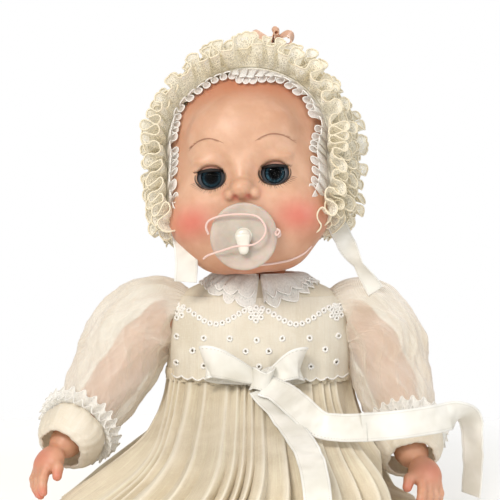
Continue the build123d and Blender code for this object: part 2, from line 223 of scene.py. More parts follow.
def cloth_map(u, v):
    """The cloth attribute: millimetres along and across the cloth for each point."""
    return np.stack(np.broadcast_arrays(u, v, 0.0), axis=-1)


def tube(path, radius, sides=10, closed=False):
    """Round cord along a path; radius may be a list."""
    radius = np.broadcast_to(np.asarray(radius, float), (len(path),))
    tangent = unit(np.gradient(path, axis=0))
    side = np.zeros_like(tangent)
    side[0] = unit(np.cross(tangent[0], vec(0.31, 0.2, 0.93)))
    for i in range(1, len(path)):
        side[i] = unit(side[i - 1] - tangent[i] * (side[i - 1] @ tangent[i]))
    other = np.cross(tangent, side)
    angle = circle(sides)
    ring = np.cos(angle)[None, :, None] * side[:, None] + np.sin(angle)[None, :, None] * other[:, None]
    points = (path[:, None] + ring * radius[:, None, None]).reshape(-1, 3)
    faces = grid_faces(len(path), sides, wrap=True)
    if closed:
        return points, faces
    count = len(points)
    caps = fan_faces(count, 0, sides), fan_faces(count + 1, count - sides, sides, flip=True)
    return np.vstack([points, path[0], path[-1]]), np.vstack([faces, *caps])


def lathe(profile, sides=96):
    """Solid of revolution about y from (radius, y) pairs."""
    profile = np.array(profile, float)
    a = circle(sides)
    ring = np.stack([np.cos(a), np.zeros(sides), np.sin(a)], axis=1)
    points = profile[:, None, :1] * ring[None] + np.array([0, 1.0, 0]) * profile[:, None, 1:]
    return points.reshape(-1, 3), grid_faces(len(profile), sides, wrap=True)


def make_frill(names, sheets, cord, looks, body, stands_for, slot, extra=(), place=np.asarray):
    """Gathered sheets of lace (points, cloth) as one object, with a cord along their rims as another."""
    parts = [(points, grid_faces(*points.shape[:2])) for points, _ in sheets]
    cloth = np.vstack([cloth.reshape(-1, 3) for _, cloth in sheets])
    rim = np.concatenate([np.tile(np.linspace(0, 1, points.shape[1]), len(points)) for points, _ in sheets])
    make_all(names[0], parts, looks[0], body, stands_for, slot, {"cloth": cloth, "rim": rim}, place=place)
    cords = [tube(points[::2, -1], *cord) for points, _ in sheets]
    make_all(names[1], cords + list(extra), looks[1], body, (), slot, place=place)


# ---------------------------------------------------------------- material building
class Value:
    """Number inside a node material, so that sums can be written as sums."""

    def __init__(self, shader, socket):
        self.shader, self.socket = shader, socket

    def math(self, operation, other=0.0):
        return self.shader.math(operation, self, other)

    def __add__(self, other):
        return self.math("ADD", other)

    def __sub__(self, other):
        return self.math("SUBTRACT", other)

    def __rsub__(self, other):
        return self.shader.math("SUBTRACT", other, self)

    def __mul__(self, other):
        return self.math("MULTIPLY", other)

    def __abs__(self):
        return self.math("ABSOLUTE")

    def most(self, other):
        return self.math("MAXIMUM", other)

    def wave(self):
        return self.math("SINE")

    def step(self, low, high):
        """0 at low, 1 at high, smooth between."""
        inputs = {0: self, 1: low, 2: high, 3: 0.0, 4: 1.0}
        return self.shader.number("MapRange", inputs, interpolation_type="SMOOTHSTEP")

    def span(self, low, high, to_low, to_high):
        return self.shader.number("MapRange", {0: self, 1: low, 2: high, 3: to_low, 4: to_high})


class Shader:
    """Short way to write a node material."""

    def __init__(self, name):
        self.material = bpy.data.materials.new(name)
        self.material.use_nodes = True
        self.tree = self.material.node_tree
        self.tree.nodes.clear()
        self.out = self.tree.nodes.new("ShaderNodeOutputMaterial")

    def put(self, socket, value):
        if isinstance(value, Value):
            value = value.socket
        if isinstance(value, bpy.types.NodeSocket):
            self.tree.links.new(value, socket)
        elif isinstance(value, (tuple, list)) and len(value) == 3 and socket.type == "RGBA":
            socket.default_value = (*value, 1.0)
        else:
            socket.default_value = value

    def node(self, kind, inputs=None, **settings):
        node = self.tree.nodes.new("ShaderNode" + kind)
        for key, value in settings.items():
            setattr(node, key, value)
        for key, value in (inputs or {}).items():
            self.put(node.inputs[key], value)
        return node

    def first(self, kind, inputs=None, **settings):
        return self.node(kind, inputs, **settings).outputs[0]

    def number(self, kind, inputs, **settings):
        return Value(self, self.first(kind, inputs, **settings))

    def math(self, operation, a, b):
        return self.number("Math", {0: a, 1: b, 2: 0.0}, operation=operation)

    def vector(self, operation, *inputs):
        return self.first("VectorMath", dict(enumerate(inputs)), operation=operation)

    def length(self, vector):
        return Value(self, self.node("VectorMath", {0: vector}, operation="LENGTH").outputs[1])

    def mix(self, factor, a, b):
        return self.node("Mix", {0: factor, 6: a, 7: b}, data_type="RGBA").outputs[2]

    def over(self, factor, below, above):
        """Mixes two surfaces."""
        return self.first("MixShader", {0: factor, 1: below, 2: above})

    def value(self, name):
        return Value(self, self.node("Attribute", attribute_name=name).outputs["Fac"])

    def cloth(self):
        return self.node("Attribute", attribute_name="cloth").outputs["Vector"]

    def coordinates(self):
        return self.node("TexCoord").outputs["Object"]

    def scaled(self, vector, *scale):
        return self.first("Mapping", {"Vector": vector, "Scale": scale})

    def noise(self, vector, scale, detail=3.0, rough=0.55):
        inputs = {"Vector": vector, "Scale": scale, "Detail": detail, "Roughness": rough}
        return self.number("TexNoise", inputs)

    def mottle(self, vector, scale, detail, low, high, a, b):
        """Colour drifting between a and b in clouds."""
        return self.mix(self.noise(vector, scale, detail).step(low, high), a, b)

    def apart(self, vector):
        return [Value(self, out) for out in self.node("SeparateXYZ", {0: vector}).outputs]

    def bump(self, height, strength, distance_mm, normal=None):
        inputs = {"Height": height, "Strength": strength, "Distance": distance_mm * MM}
        if normal is not None:
            inputs["Normal"] = normal
        return self.first("Bump", inputs)

    def clear(self, **inputs):
        return self.first("BsdfTransparent", inputs)

    def principled(self, **inputs):
        names = {key.replace("_", " "): value for key, value in inputs.items()}
        return self.first("BsdfPrincipled", names)

    def backlit(self, share, tone, normal, **inputs):
        """Cloth that lets a share of the light through from behind."""
        solid = self.principled(Base_Color=tone, Normal=normal, **inputs)
        return self.over(share, solid, self.first("BsdfTranslucent", {"Color": tone, "Normal": normal}))

    def finish(self, surface):
        self.tree.links.new(surface, self.out.inputs[0])
        return self.material


def srgb(r, g, b):
    """Linear colour from screen values out of 255."""
    return tuple((c / 255 / 12.92) if c <= 10 else ((c / 255 + 0.055) / 1.055) ** 2.4 for c in (r, g, b))


def times(colour, k):
    """The colour made brighter or darker, held at white."""
    return tuple(min(1.0, c * k) for c in colour)


# ---------------------------------------------------------------- sculpting
class Clay:
    """Grid of signed distances in millimetres, built up from rounded forms and turned into a mesh."""

    def __init__(self, low, high, voxel):
        self.low, self.voxel = np.array(low, float), voxel
        counts = np.ceil((np.array(high, float) - self.low) / voxel).astype(int) + 1
        axes = [(self.low[i] + voxel * np.arange(counts[i])).astype(np.float32) for i in range(3)]
        self.x, self.y, self.z = np.meshgrid(*axes, indexing="ij", sparse=True)
        self.d = np.full(tuple(counts), 60.0, np.float32)

    def egg(self, centre, radii, axes=None):
        p = [self.x - centre[0], self.y - centre[1], self.z - centre[2]]
        if axes is not None:
            p = [p[0] * a[0] + p[1] * a[1] + p[2] * a[2] for a in np.asarray(axes, np.float32)]
        reach = np.sqrt(sum((c / r) ** 2 for c, r in zip(p, radii)))
        slope = np.sqrt(sum((c / r**2) ** 2 for c, r in zip(p, radii))) + 1e-6
        return reach * (reach - 1) / slope

    def bar(self, start, end, start_radius, end_radius):
        s, e = np.array(start, np.float32), np.array(end, np.float32)
        line = e - s
        p = [self.x - s[0], self.y - s[1], self.z - s[2]]
        t = np.clip((p[0] * line[0] + p[1] * line[1] + p[2] * line[2]) / (line @ line), 0, 1)
        gap = sum((c - t * l) ** 2 for c, l in zip(p, line))
        return np.sqrt(gap) - (start_radius + (end_radius - start_radius) * t)

    def cut(self, other, k):
        h = np.clip(0.5 - 0.5 * (self.d + other) / k, 0, 1)
        self.d = self.d * (1 - h) - other * h + k * h * (1 - h)

    # each of these rounds the join over k millimetres
    def lump(self, k, *egg):
        self.d = smooth_min(self.d, self.egg(*egg), k)

    def dent(self, k, *egg):
        self.cut(self.egg(*egg), k)

    def limb(self, k, *bar):
        self.d = smooth_min(self.d, self.bar(*bar), k)

    def limbs(self, k, line, radii):
        for bar in zip(line, line[1:], radii, radii[1:]):
            self.limb(k, *bar)

    def groove(self, k, *bar):
        self.cut(self.bar(*bar), k)

    def mesh(self):
        grid = openvdb.FloatGrid(60.0)
        grid.copyFromArray(np.ascontiguousarray(self.d, np.float32))
        points, _, quads = grid.convertToPolygons(0.0, 0.0)
        points, quads = points * self.voxel + self.low, quads.astype(np.int64)
        a, b, c = points[quads[:, 0]], points[quads[:, 1]], points[quads[:, 2]]
        if np.einsum("ij,ij->i", a - self.low, np.cross(b - a, c - a)).sum() < 0:
            quads = quads[:, ::-1]
        return points, quads

    def front(self, x, z):
        """The first surface met going back along +y at each x, z."""
        i = np.clip(((np.asarray(x) - self.low[0]) / self.voxel), 0, self.d.shape[0] - 2)
        k = np.clip(((np.asarray(z) - self.low[2]) / self.voxel), 0, self.d.shape[2] - 2)
        i0, k0 = i.astype(int), k.astype(int)
        fi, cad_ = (i - i0)[:, None], (k - k0)[:, None]
        line = (self.d[i0, :, k0] * (1 - fi) + self.d[i0 + 1, :, k0] * fi) * (1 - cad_)
        line = line + (self.d[i0, :, k0 + 1] * (1 - fi) + self.d[i0 + 1, :, k0 + 1] * fi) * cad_
        first = np.maximum(np.argmax(line < 0, axis=1), 1)
        rows = np.arange(len(first))
        a, b = line[rows, first - 1], line[rows, first]
        return self.low[1] + self.voxel * (first - 1 + a / np.maximum(a - b, 1e-6))


# ---------------------------------------------------------------- the head's own frame
NECK = np.array(JOINTS["head_turn"]["pos_m"]) / MM
HEAD_X = unit(JOINTS["eye_blink_left"]["axis"])
HEAD_Y = -unit(JOINTS["pacifier_pull"]["axis"])
HEAD_AXES = np.stack([HEAD_X, HEAD_Y, np.cross(HEAD_X, HEAD_Y)])
CRANIUM = (vec(0, 5, 66), vec(40, 44, 41))
FACE = (vec(0, -8.5, 46), vec(38.5, 37, 37))
EYE = vec(14.8, -31, 53)
BALL_RADIUS, LID_ANGLE = 8.2, 22.0
MOUTH = vec(0, -47.8, 24)


def head(points):
    """Head's own millimetres to the row's."""
    return np.asarray(points, float) @ HEAD_AXES + NECK


# ---------------------------------------------------------------- materials
def vinyl():
    """Soft vinyl flesh: warm peach, coral on cheeks, nostrils and fingertips, and orange-brown painted shade
    where the deep tag is high.
    """
    s = Shader("vinyl_flesh")
    p, blush, deep = s.coordinates(), s.value("blush"), s.value("deep")
    colour = s.mottle(p, 90, 4, 0.35, 0.7, srgb(198, 154, 125), srgb(211, 169, 141))
    # painted shade: the skin turns orange-brown where the deep tag is high
    colour = s.mix(deep * 0.75, colour, srgb(176, 98, 58))
    colour = s.mix(blush * 0.8, colour, srgb(206, 84, 76))
    specks = s.noise(p, 1400, 2).step(0.62, 0.74)
    colour = s.mix(specks * 0.12, colour, srgb(180, 120, 88))
    height = s.noise(p, 900, 3) + s.noise(p, 160, 2) * 1.4
    skin = s.principled(
        Base_Color=colour,
        Roughness=s.noise(p, 300, 3).span(0.3, 0.7, 0.42, 0.56),
        Normal=s.bump(height, 0.22, 0.12),
        Subsurface_Weight=0.35,
        Subsurface_Radius=(1.0, 0.42, 0.22),
        Subsurface_Scale=0.004,
        Coat_Weight=0.12,
        Coat_Roughness=0.35,
    )
    return s.finish(skin)


def painted(name, colour, roughness=0.5, variation=0.12, coat=0.0):
    s = Shader(name)
    p = s.coordinates()
    tone = s.noise(p, 260, 4).step(0.3, 0.7)
    height = s.noise(p, 1100, 3)
    paint = s.principled(
        Base_Color=s.mix(tone, colour, times(colour, 1 - variation)),
        Roughness=s.noise(p, 420, 2).span(0.3, 0.7, roughness - 0.05, roughness + 0.08),
        Coat_Weight=coat,
        Normal=s.bump(height, 0.15, 0.05),
    )
    return s.finish(paint)


def woven(name, colour, shade, cell=0.42, see_through=0.0, sheen=0.3, gloss=0.75, crease=0.35, crease_shading=0.0):
    """Plain weave in the cloth's own millimetres, with slubs and creases; thicker at hems if see-through."""
    s = Shader(name)
    cloth = s.cloth()
    u, v, _ = s.apart(cloth)
    p = s.coordinates()
    turn = 2 * math.pi / cell
    warp, weft = (u * turn).wave(), (v * turn).wave()
    weave = warp * weft
    slubs = s.noise(s.scaled(cloth, 0.35, 4.0, 1.0), 1.0, 3) + s.noise(s.scaled(cloth, 4.0, 0.3, 1.0), 1.0, 3)
    tone = s.mottle(p, 45, 4, 0.3, 0.75, colour, shade)
    tone = s.mix(slubs.step(0.9, 1.25) * 0.28, tone, times(colour, 1.25))
    # painted shade between the threads of the weave
    tone = s.mix(weave.step(-0.2, -0.9) * 0.22, tone, times(shade, 0.6))
    # painted highlight along the crests of the skirt's pleats
    tone = s.mix(s.value("crest_highlight") * 0.55, tone, srgb(252, 246, 232))
    fine = s.bump(weave * 0.5 + slubs, 0.3, 0.08)
    if crease_shading:
        # painted light and shade: lighter and darker streaks along fine crinkles, which also get a bump
        creases = s.noise(s.scaled(cloth, 0.9, 0.03, 1.0), 1.0, 5, 0.65)
        tone = s.mix(creases.step(0.5, 0.7) * crease_shading, tone, times(colour, 1.3))
        tone = s.mix(creases.step(0.45, 0.25) * crease_shading, tone, times(shade, 0.62))
        fine = s.bump(creases, 0.6, 0.5, fine)
    normal = s.bump(s.noise(s.scaled(p, 1, 1, 0.5), 220, 4), crease, 0.5, fine)
    looks = {"Roughness": gloss, "Sheen_Weight": sheen, "Sheen_Roughness": 0.4, "Specular_IOR_Level": 0.3}
    surface = s.backlit(0.3, tone, normal, **looks)
    if see_through:
        threads = warp.most(weft).step(0.1, 0.8)
        facing = Value(s, s.node("LayerWeight", {0: 0.35}).outputs[1])
        cover = threads * 0.35 + facing * 0.75 + (0.65 - see_through) + s.value("hem")
        surface = s.over(cover.math("MINIMUM", 1.0), s.clear(Color=times(colour, 1.15)), surface)
    return s.finish(surface)


def lace(name, colour, shade, mesh, flower, least):
    """Net lace with worked flowers. The rim attribute runs from the gathered edge at 0 to the rim at 1."""
    s = Shader(name)
    cloth = s.cloth()
    rim = s.value("rim")
    sway = s.node("TexNoise", {"Vector": cloth, "Scale": 0.5, "Detail": 2.0}).outputs["Color"]
    flat = s.scaled(s.vector("ADD", cloth, sway), 1, 1, 0)
    cells = {"Vector": flat, "Scale": 1 / mesh, "Randomness": 0.8}
    strands = s.number("TexVoronoi", cells, feature="DISTANCE_TO_EDGE").step(0.17, 0.09)
    bloom = s.node("TexVoronoi", {"Vector": flat, "Scale": 1 / flower, "Randomness": 0.55}).outputs
    middle = Value(s, bloom["Distance"])
    away = s.vector("SUBTRACT", s.scaled(flat, 1 / flower, 1 / flower, 0), bloom["Position"])
    ax, ay, _ = s.apart(away)
    angle = ay.math("ARCTAN2", ax)
    petals = abs((angle * 2.5).math("COSINE")) * 0.2 + 0.16
    inside = petals - middle
    flowers = inside.step(-0.015, 0.03)
    outline = abs(inside).step(0.05, 0.015)
    eye = middle.step(0.09, 0.06)
    cover = strands.most(flowers * 0.93).most(outline) - eye * 0.7
    cover = cover.most(rim.step(0.84, 0.9)).most(rim.step(0.1, 0.04)).most(least)
    p = s.coordinates()
    tone = s.mottle(p, 70, 4, 0.3, 0.7, colour, shade)
    # painted shade in the gaps between strands and flowers
    tone = s.mix((1.0 - strands.most(flowers)) * 0.16, tone, times(shade, 0.6))
    tone = s.mix(outline * 0.6, tone, times(colour, 1.15))
    height = outline * 1.4 + (flowers + strands * 0.6)
    threads = s.noise(s.scaled(cloth, 9, 2.5, 1), 1.0, 2) * 0.6
    normal = s.bump(height + threads, 0.5, 0.22)
    surface = s.backlit(0.35, tone, normal, Roughness=0.72, Sheen_Weight=0.25, Specular_IOR_Level=0.35)
    return s.finish(s.over(cover, s.clear(), surface))


def satin(name, colour, shade):
    """Ribbon with stitched selvedges. The cloth attribute is millimetres along and 0 to 1 across."""
    s = Shader(name)
    cloth = s.cloth()
    u, v, _ = s.apart(cloth)
    p = s.coordinates()
    fine = s.noise(s.scaled(cloth, 0.6, 190, 1), 1.0, 2)
    edge = abs(v - 0.5)
    selvedge = edge.step(0.43, 0.455)
    stitch = (u * (2 * math.pi / 1.1)).wave().step(-0.2, 0.5)
    line = abs(edge - 0.41).step(0.018, 0.008) * stitch
    tone = s.mottle(p, 60, 3, 0.3, 0.7, colour, shade)
    tone = s.mix(selvedge * 0.35, tone, times(colour, 1.2))
    tone = s.mix(line * 0.5, tone, times(shade, 0.55))
    height = fine * 0.5 + (line * -1.2 + selvedge)
    normal = s.bump(s.noise(p, 160, 3), 0.25, 0.5, s.bump(height, 0.35, 0.1))
    looks = {"Roughness": 0.36, "Anisotropic": 0.6, "Sheen_Weight": 0.2, "Specular_IOR_Level": 0.55}
    return s.finish(s.backlit(0.22, tone, normal, **looks))


def thread(name, colour, twist=0.9):
    s = Shader(name)
    p = s.coordinates()
    x, y, z = s.apart(p)
    spiral = ((x + y + z) * (2 * math.pi / (twist * MM))).wave()
    # painted shade in the grooves of the twist
    tone = s.mix(spiral.step(-0.6, 0.6), times(colour, 0.8), colour)
    normal = s.bump(spiral + s.noise(p, 2200, 2), 0.5, 0.1)
    looks = {"Roughness": 0.7, "Sheen_Weight": 0.5, "Specular_IOR_Level": 0.3}
    return s.finish(s.principled(Base_Color=tone, Normal=normal, **looks))


def iris_paint(name):
    """Blue-grey iris with fine fibres, a dark ring and a large black pupil round the line of sight."""
    s = Shader(f"iris_{name}")
    low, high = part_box(f"iris_{name}")
    moved = s.vector("SUBTRACT", s.coordinates(), tuple((low + high) / 2))
    cross = s.vector("CROSS_PRODUCT", moved, tuple(-HEAD_Y))
    out = s.length(cross) * (1 / MM)
    fibres = s.noise(s.vector("NORMALIZE", cross), 26, 3)
    tone = s.mix(fibres.step(0.35, 0.65), srgb(6, 14, 22), srgb(58, 96, 112))
    tone = s.mix(out.step(3.6, 2.9), tone, srgb(14, 22, 30))
    tone = s.mix(out.step(4.0, 4.6), tone, srgb(4, 6, 9))
    tone = s.mix(out.step(2.7, 2.3), tone, srgb(0, 0, 0))
    looks = {"Roughness": 0.6, "Specular_IOR_Level": 0.05, "Coat_Weight": 0.02, "Coat_Roughness": 0.03}
    return s.finish(s.principled(Base_Color=tone, Normal=s.bump(fibres, 0.2, 0.1), **looks))


def eye_white():
    s = Shader("eye_white_enamel")
    p = s.coordinates()
    veins = s.noise(s.scaled(p, 1, 3, 1), 500, 5).step(0.56, 0.62)
    # painted shade: the white of the eye is a dark blue-grey, for the shade inside the eye opening
    tone = s.mix(veins * 0.15, srgb(84, 90, 96), srgb(86, 74, 72))
    tone = s.mottle(p, 120, 2, 0.3, 0.7, tone, srgb(70, 78, 86))
    bump = s.bump(s.noise(p, 700, 2), 0.08, 0.05)
    looks = {"Roughness": 0.3, "Coat_Weight": 0.2, "Coat_Roughness": 0.05}
    return s.finish(s.principled(Base_Color=tone, Normal=bump, **looks))


def clear_lens():
    s = Shader("lens_acrylic")
    p = s.coordinates()
    ripple = s.bump(s.noise(p, 260, 2), 0.04, 0.05)
    rough = s.noise(p, 500, 2).span(0.3, 0.7, 0.02, 0.07)
    glare = s.first("BsdfGlossy", {"Color": (1, 1, 1), "Roughness": rough, "Normal": ripple})
    fresnel = s.number("Fresnel", {"IOR": 1.26, "Normal": ripple})
    return s.finish(s.over(fresnel * 0.22, s.clear(), glare))


def frosted():
    """Warm grey frosted plastic of the pacifier's shield."""
    s = Shader("shield_frosted_plastic")
    p = s.coordinates()
    tone = s.mottle(p, 140, 4, 0.3, 0.7, srgb(208, 197, 184), srgb(193, 181, 168))
    scuff = s.noise(s.scaled(p, 1, 1, 5), 420, 4)
    normal = s.bump(scuff, 0.16, 0.08)
    rough = scuff.span(0.3, 0.7, 0.32, 0.5)
    looks = {"Roughness": rough, "Subsurface_Weight": 0.5, "Subsurface_Scale": 0.004}
    solid = s.principled(Base_Color=tone, Normal=normal, **looks)
    return s.finish(s.over(0.8, s.clear(Color=srgb(226, 210, 200)), solid))


VINYL = vinyl()
IVORY = srgb(255, 252, 241), srgb(247, 239, 218)
WHITE = srgb(255, 255, 253), srgb(250, 248, 242)
CORD_IVORY = thread("ivory_cord", srgb(244, 232, 204))
CORD_WHITE = thread("white_cord", srgb(247, 244, 238))
# lace and the cord along its rim
BONNET_LACE = lace("ivory_net_lace", *IVORY, mesh=0.9, flower=4.6, least=0.55), CORD_IVORY
WHITE_LACE = lace("white_net_lace", *WHITE, mesh=0.8, flower=3.8, least=0.86), CORD_WHITE
BONNET_CLOTH = woven("bonnet_lawn", *IVORY)
BODICE_CLOTH = woven("bodice_voile", srgb(244, 235, 215), srgb(230, 216, 190), 0.55, crease_shading=0.18)
EYELET_CLOTH = woven("eyelet_voile", srgb(244, 237, 222), srgb(229, 219, 199), 0.45, crease_shading=0.15)
SKIRT_CLOTH = woven("skirt_voile", srgb(238, 226, 203), srgb(220, 205, 178), 0.5, crease_shading=0.36)
ORGANZA = woven("organza", srgb(248, 243, 233), srgb(236, 228, 212), 0.38, 0.36, sheen=0.5, gloss=0.42)
CUFF_CLOTH = woven("cuff_cotton", srgb(248, 241, 227), srgb(236, 226, 206), 0.5, crease=0.6, crease_shading=0.2)
SATIN = satin("ivory_satin", srgb(248, 246, 240), srgb(231, 228, 218))
PEACH = satin("peach_satin", srgb(240, 205, 178), srgb(222, 176, 146))
LASH = painted("lash_fibre", srgb(22, 16, 14), 0.4)
BROW = painted("brow_paint", srgb(170, 122, 96), 0.6)
LASH_PAINT = painted("lash_paint", srgb(72, 50, 40), 0.6)
LID_PAINT = painted("lid_paint", srgb(216, 168, 148), 0.4, coat=0.2)
RIM_PAINT = painted("rim_paint", srgb(94, 58, 48))
CASE = painted("eye_case_plastic", srgb(190, 186, 178))
WIRE = painted("axle_wire", srgb(150, 150, 152), 0.3)
IRON = painted("weight_iron", srgb(92, 88, 86))
KNOB = painted("knob_plastic", srgb(222, 216, 204), 0.32, 0.06, coat=0.3)
PEARL = painted("pearl_plastic", srgb(240, 234, 224), 0.2, 0.06, coat=0.8)
PINK_CORD = thread("pink_elastic", srgb(240, 208, 198), 0.7)
FROSTED = frosted()
EYE_WHITE = eye_white()
LENS = clear_lens()


# ---------------------------------------------------------------- head, face and eyes
def sculpt_head():
    clay = Clay((-46, -58, -6), (46, 52, 110), 0.62)
    clay.lump(1.0, *CRANIUM)
    clay.lump(9.0, *FACE)
    clay.limb(6.0, (0, 0, -3), (0, 0, 16), 12.2, 13.0)  # neck
    clay.lump(9.0, (0, -31, 74), (23, 11, 14))  # brow
    clay.lump(6.0, (0, -35, 14.5), (9.5, 8.5, 7))  # chin
    clay.lump(6.0, (0, -36, 26), (13, 9, 10))  # muzzle
    for side in (-1, 1):
        clay.lump(9.0, (side * 20.5, -26.5, 32.5), (16.5, 15.2, 15))  # cheek
        clay.lump(9.0, (side * 12.5, -25.5, 18.5), (13.0, 12, 9.8))  # jowl
        eye = EYE * vec(side, 1, 1)
        clay.dent(5.0, eye + vec(side * 0.5, -13.4, 0.5), (11.0, 5.2, 8.2))
        clay.lump(1.6, eye, (10.3, 9.9, 9.5))  # lids
        clay.lump(3.4, eye + vec(0, -6.0, 7.4), (7.8, 3.6, 1.9))  # upper lid fold
        clay.dent(0.9, eye + vec(side * 0.2, -9.5, -0.1), (7.5, 7.0, 5.6))
        clay.dent(0.3, eye, (8.7, 8.7, 8.7))
        ear = vec(side * 39, 3, 47)
        tilt = [(1, 0, 0), (0, 1, 0.2), (0, -0.2, 1)]
        clay.lump(2.0, ear, (4.2, 6.2, 9.8), tilt)
        clay.dent(1.4, ear + vec(side * 3.4, -1.2, 0.8), (2.6, 3.2, 6.0), tilt)
        clay.lump(1.2, ear + vec(side * 2.6, -4.6, -1.0), (1.6, 1.5, 2.6))
        clay.lump(0.8, (side * 5.7, -42.9, 43.6), (3.0, 4.6, 3.2))  # nose wing
    clay.lump(1.3, (0, -44.4, 46.0), (5.4, 6.9, 4.8))  # nose and its bridge
    clay.limb(4.5, (0, -38.5, 56), (0, -42.5, 46), 2.2, 2.6)
    for side in (-1, 1):
        clay.dent(0.5, (side * 3.0, -48.6, 42.1), (1.45, 3.0, 1.15))  # nostril
    clay.lump(1.6, (0, -42.3, 29.6), (6.5, 3.2, 2.0))  # lips, parted round the teat
    clay.lump(1.6, (0, -41.6, 18.8), (5.4, 3.0, 2.0))
    clay.dent(0.8, (0, -44, 24), (3.5, 14, 3.4))
    return clay


SKULL = sculpt_head()


def make_head():
    points, quads = SKULL.mesh()
    blush = np.zeros(len(points))
    for side in (-1, 1):
        blush += 0.9 * near(points, (side * 24, -34, 32.5), (10, 22, 7.5))  # cheek
        blush += 0.9 * near(points, (side * 3.0, -47.6, 42.1), (1.7, 3.4, 1.3))  # nostril
        blush += 0.3 * near(points, (side * 8.8, -42, 43.4), (1.3, 4, 3.2))
        blush += 0.5 * near(points, (side * 42, 2, 47), (6, 8, 10))  # ear
    blush += 0.4 * near(points, (0, -38, 14), (10, 12, 6)) + 0.6 * near(points, (0, -43, 24), (8, 8, 8))
    # painted shade: the deep tag is high towards the back of the head, under the bonnet's edge, round the rim
    # of the face and under the chin
    behind = ease(-23, -2, points[:, 1]) * ease(110, 85, points[:, 2])
    from_middle = np.hypot(points[:, 0] / 36, (points[:, 2] - 48) / 46)
    edge = 0.55 * ease(84, 97, points[:, 2]) + 0.4 * ease(0.72, 1.05, from_middle)
    deep = np.clip(0.75 * behind + edge + 0.8 * ease(14, 4, points[:, 2]), 0, 1)
    # painted shade in the hollows beside the nose
    for side in (-1, 1):
        deep += 0.25 * near(points, (side * 6, -38, 52), (3.5, 9, 6))
    tints = {"blush": np.clip(blush, 0, 1), "deep": np.clip(deep, 0, 1)}
    make("head_skin", head(points), quads, VINYL, "head", ["head_shell"], "vinyl_skin", tints)


def painted_stroke(line_xz, widths, lift=0.1, across=5):
    """Flat stroke of paint laid on the face along (x, z) points."""
    steps = 26
    line = spline(line_xz, steps)
    direction = unit(np.gradient(line, axis=0))
    normal = np.stack([-direction[:, 1], direction[:, 0]], axis=1)
    width = along(steps, np.linspace(0, 1, len(widths)), widths)
    v = np.linspace(-0.5, 0.5, across)
    xz = line[:, None] + normal[:, None] * (width[:, None] * v)[..., None]
    x, z = xz.reshape(-1, 2).T
    return np.stack([x, SKULL.front(x, z) - lift, z], axis=1), grid_faces(steps, across)


def make_brow(name):
    side = SIGN[name]
    rng = np.random.default_rng(5 + side)
    line, steps, hair_count = [(7.2, 67.7), (11, 69.7), (15.5, 70.7), (20.5, 69.6), (25.4, 66.4)], 60, 26
    strokes = [painted_stroke([(side * x, z) for x, z in line], (0.12, 0.5, 0.75, 0.5, 0.1))]
    spine = spline(line, steps)
    for _ in range(hair_count):
        x, z = spine[int(rng.uniform(0.05, 0.9) * (steps - 1))]
        lift = (12 - x * 0.8) * 0.02
        hair = ((x, z - 0.1), (x + 0.9, z + lift * 0.5), (x + 1.8, z + lift))
        strokes.append(painted_stroke([(side * a, b) for a, b in hair], (0.08, 0.2, 0.05), 0.12, 3))
    make_all(f"brow_{name}", strokes, BROW, "head", (), "lash_fibre", place=head)


def repaint(node, material):
    """Gives a node of the frame a new material and smooth shading."""
    mesh = frame["nodes"][node].data
    if not mesh.materials:
        mesh.materials.append(material)
    for i in range(len(mesh.materials)):
        mesh.materials[i] = material
    mesh.polygons.foreach_set("use_smooth", np.ones(len(mesh.polygons), bool))
    mesh.set_sharp_from_angle(angle=math.radians(35))


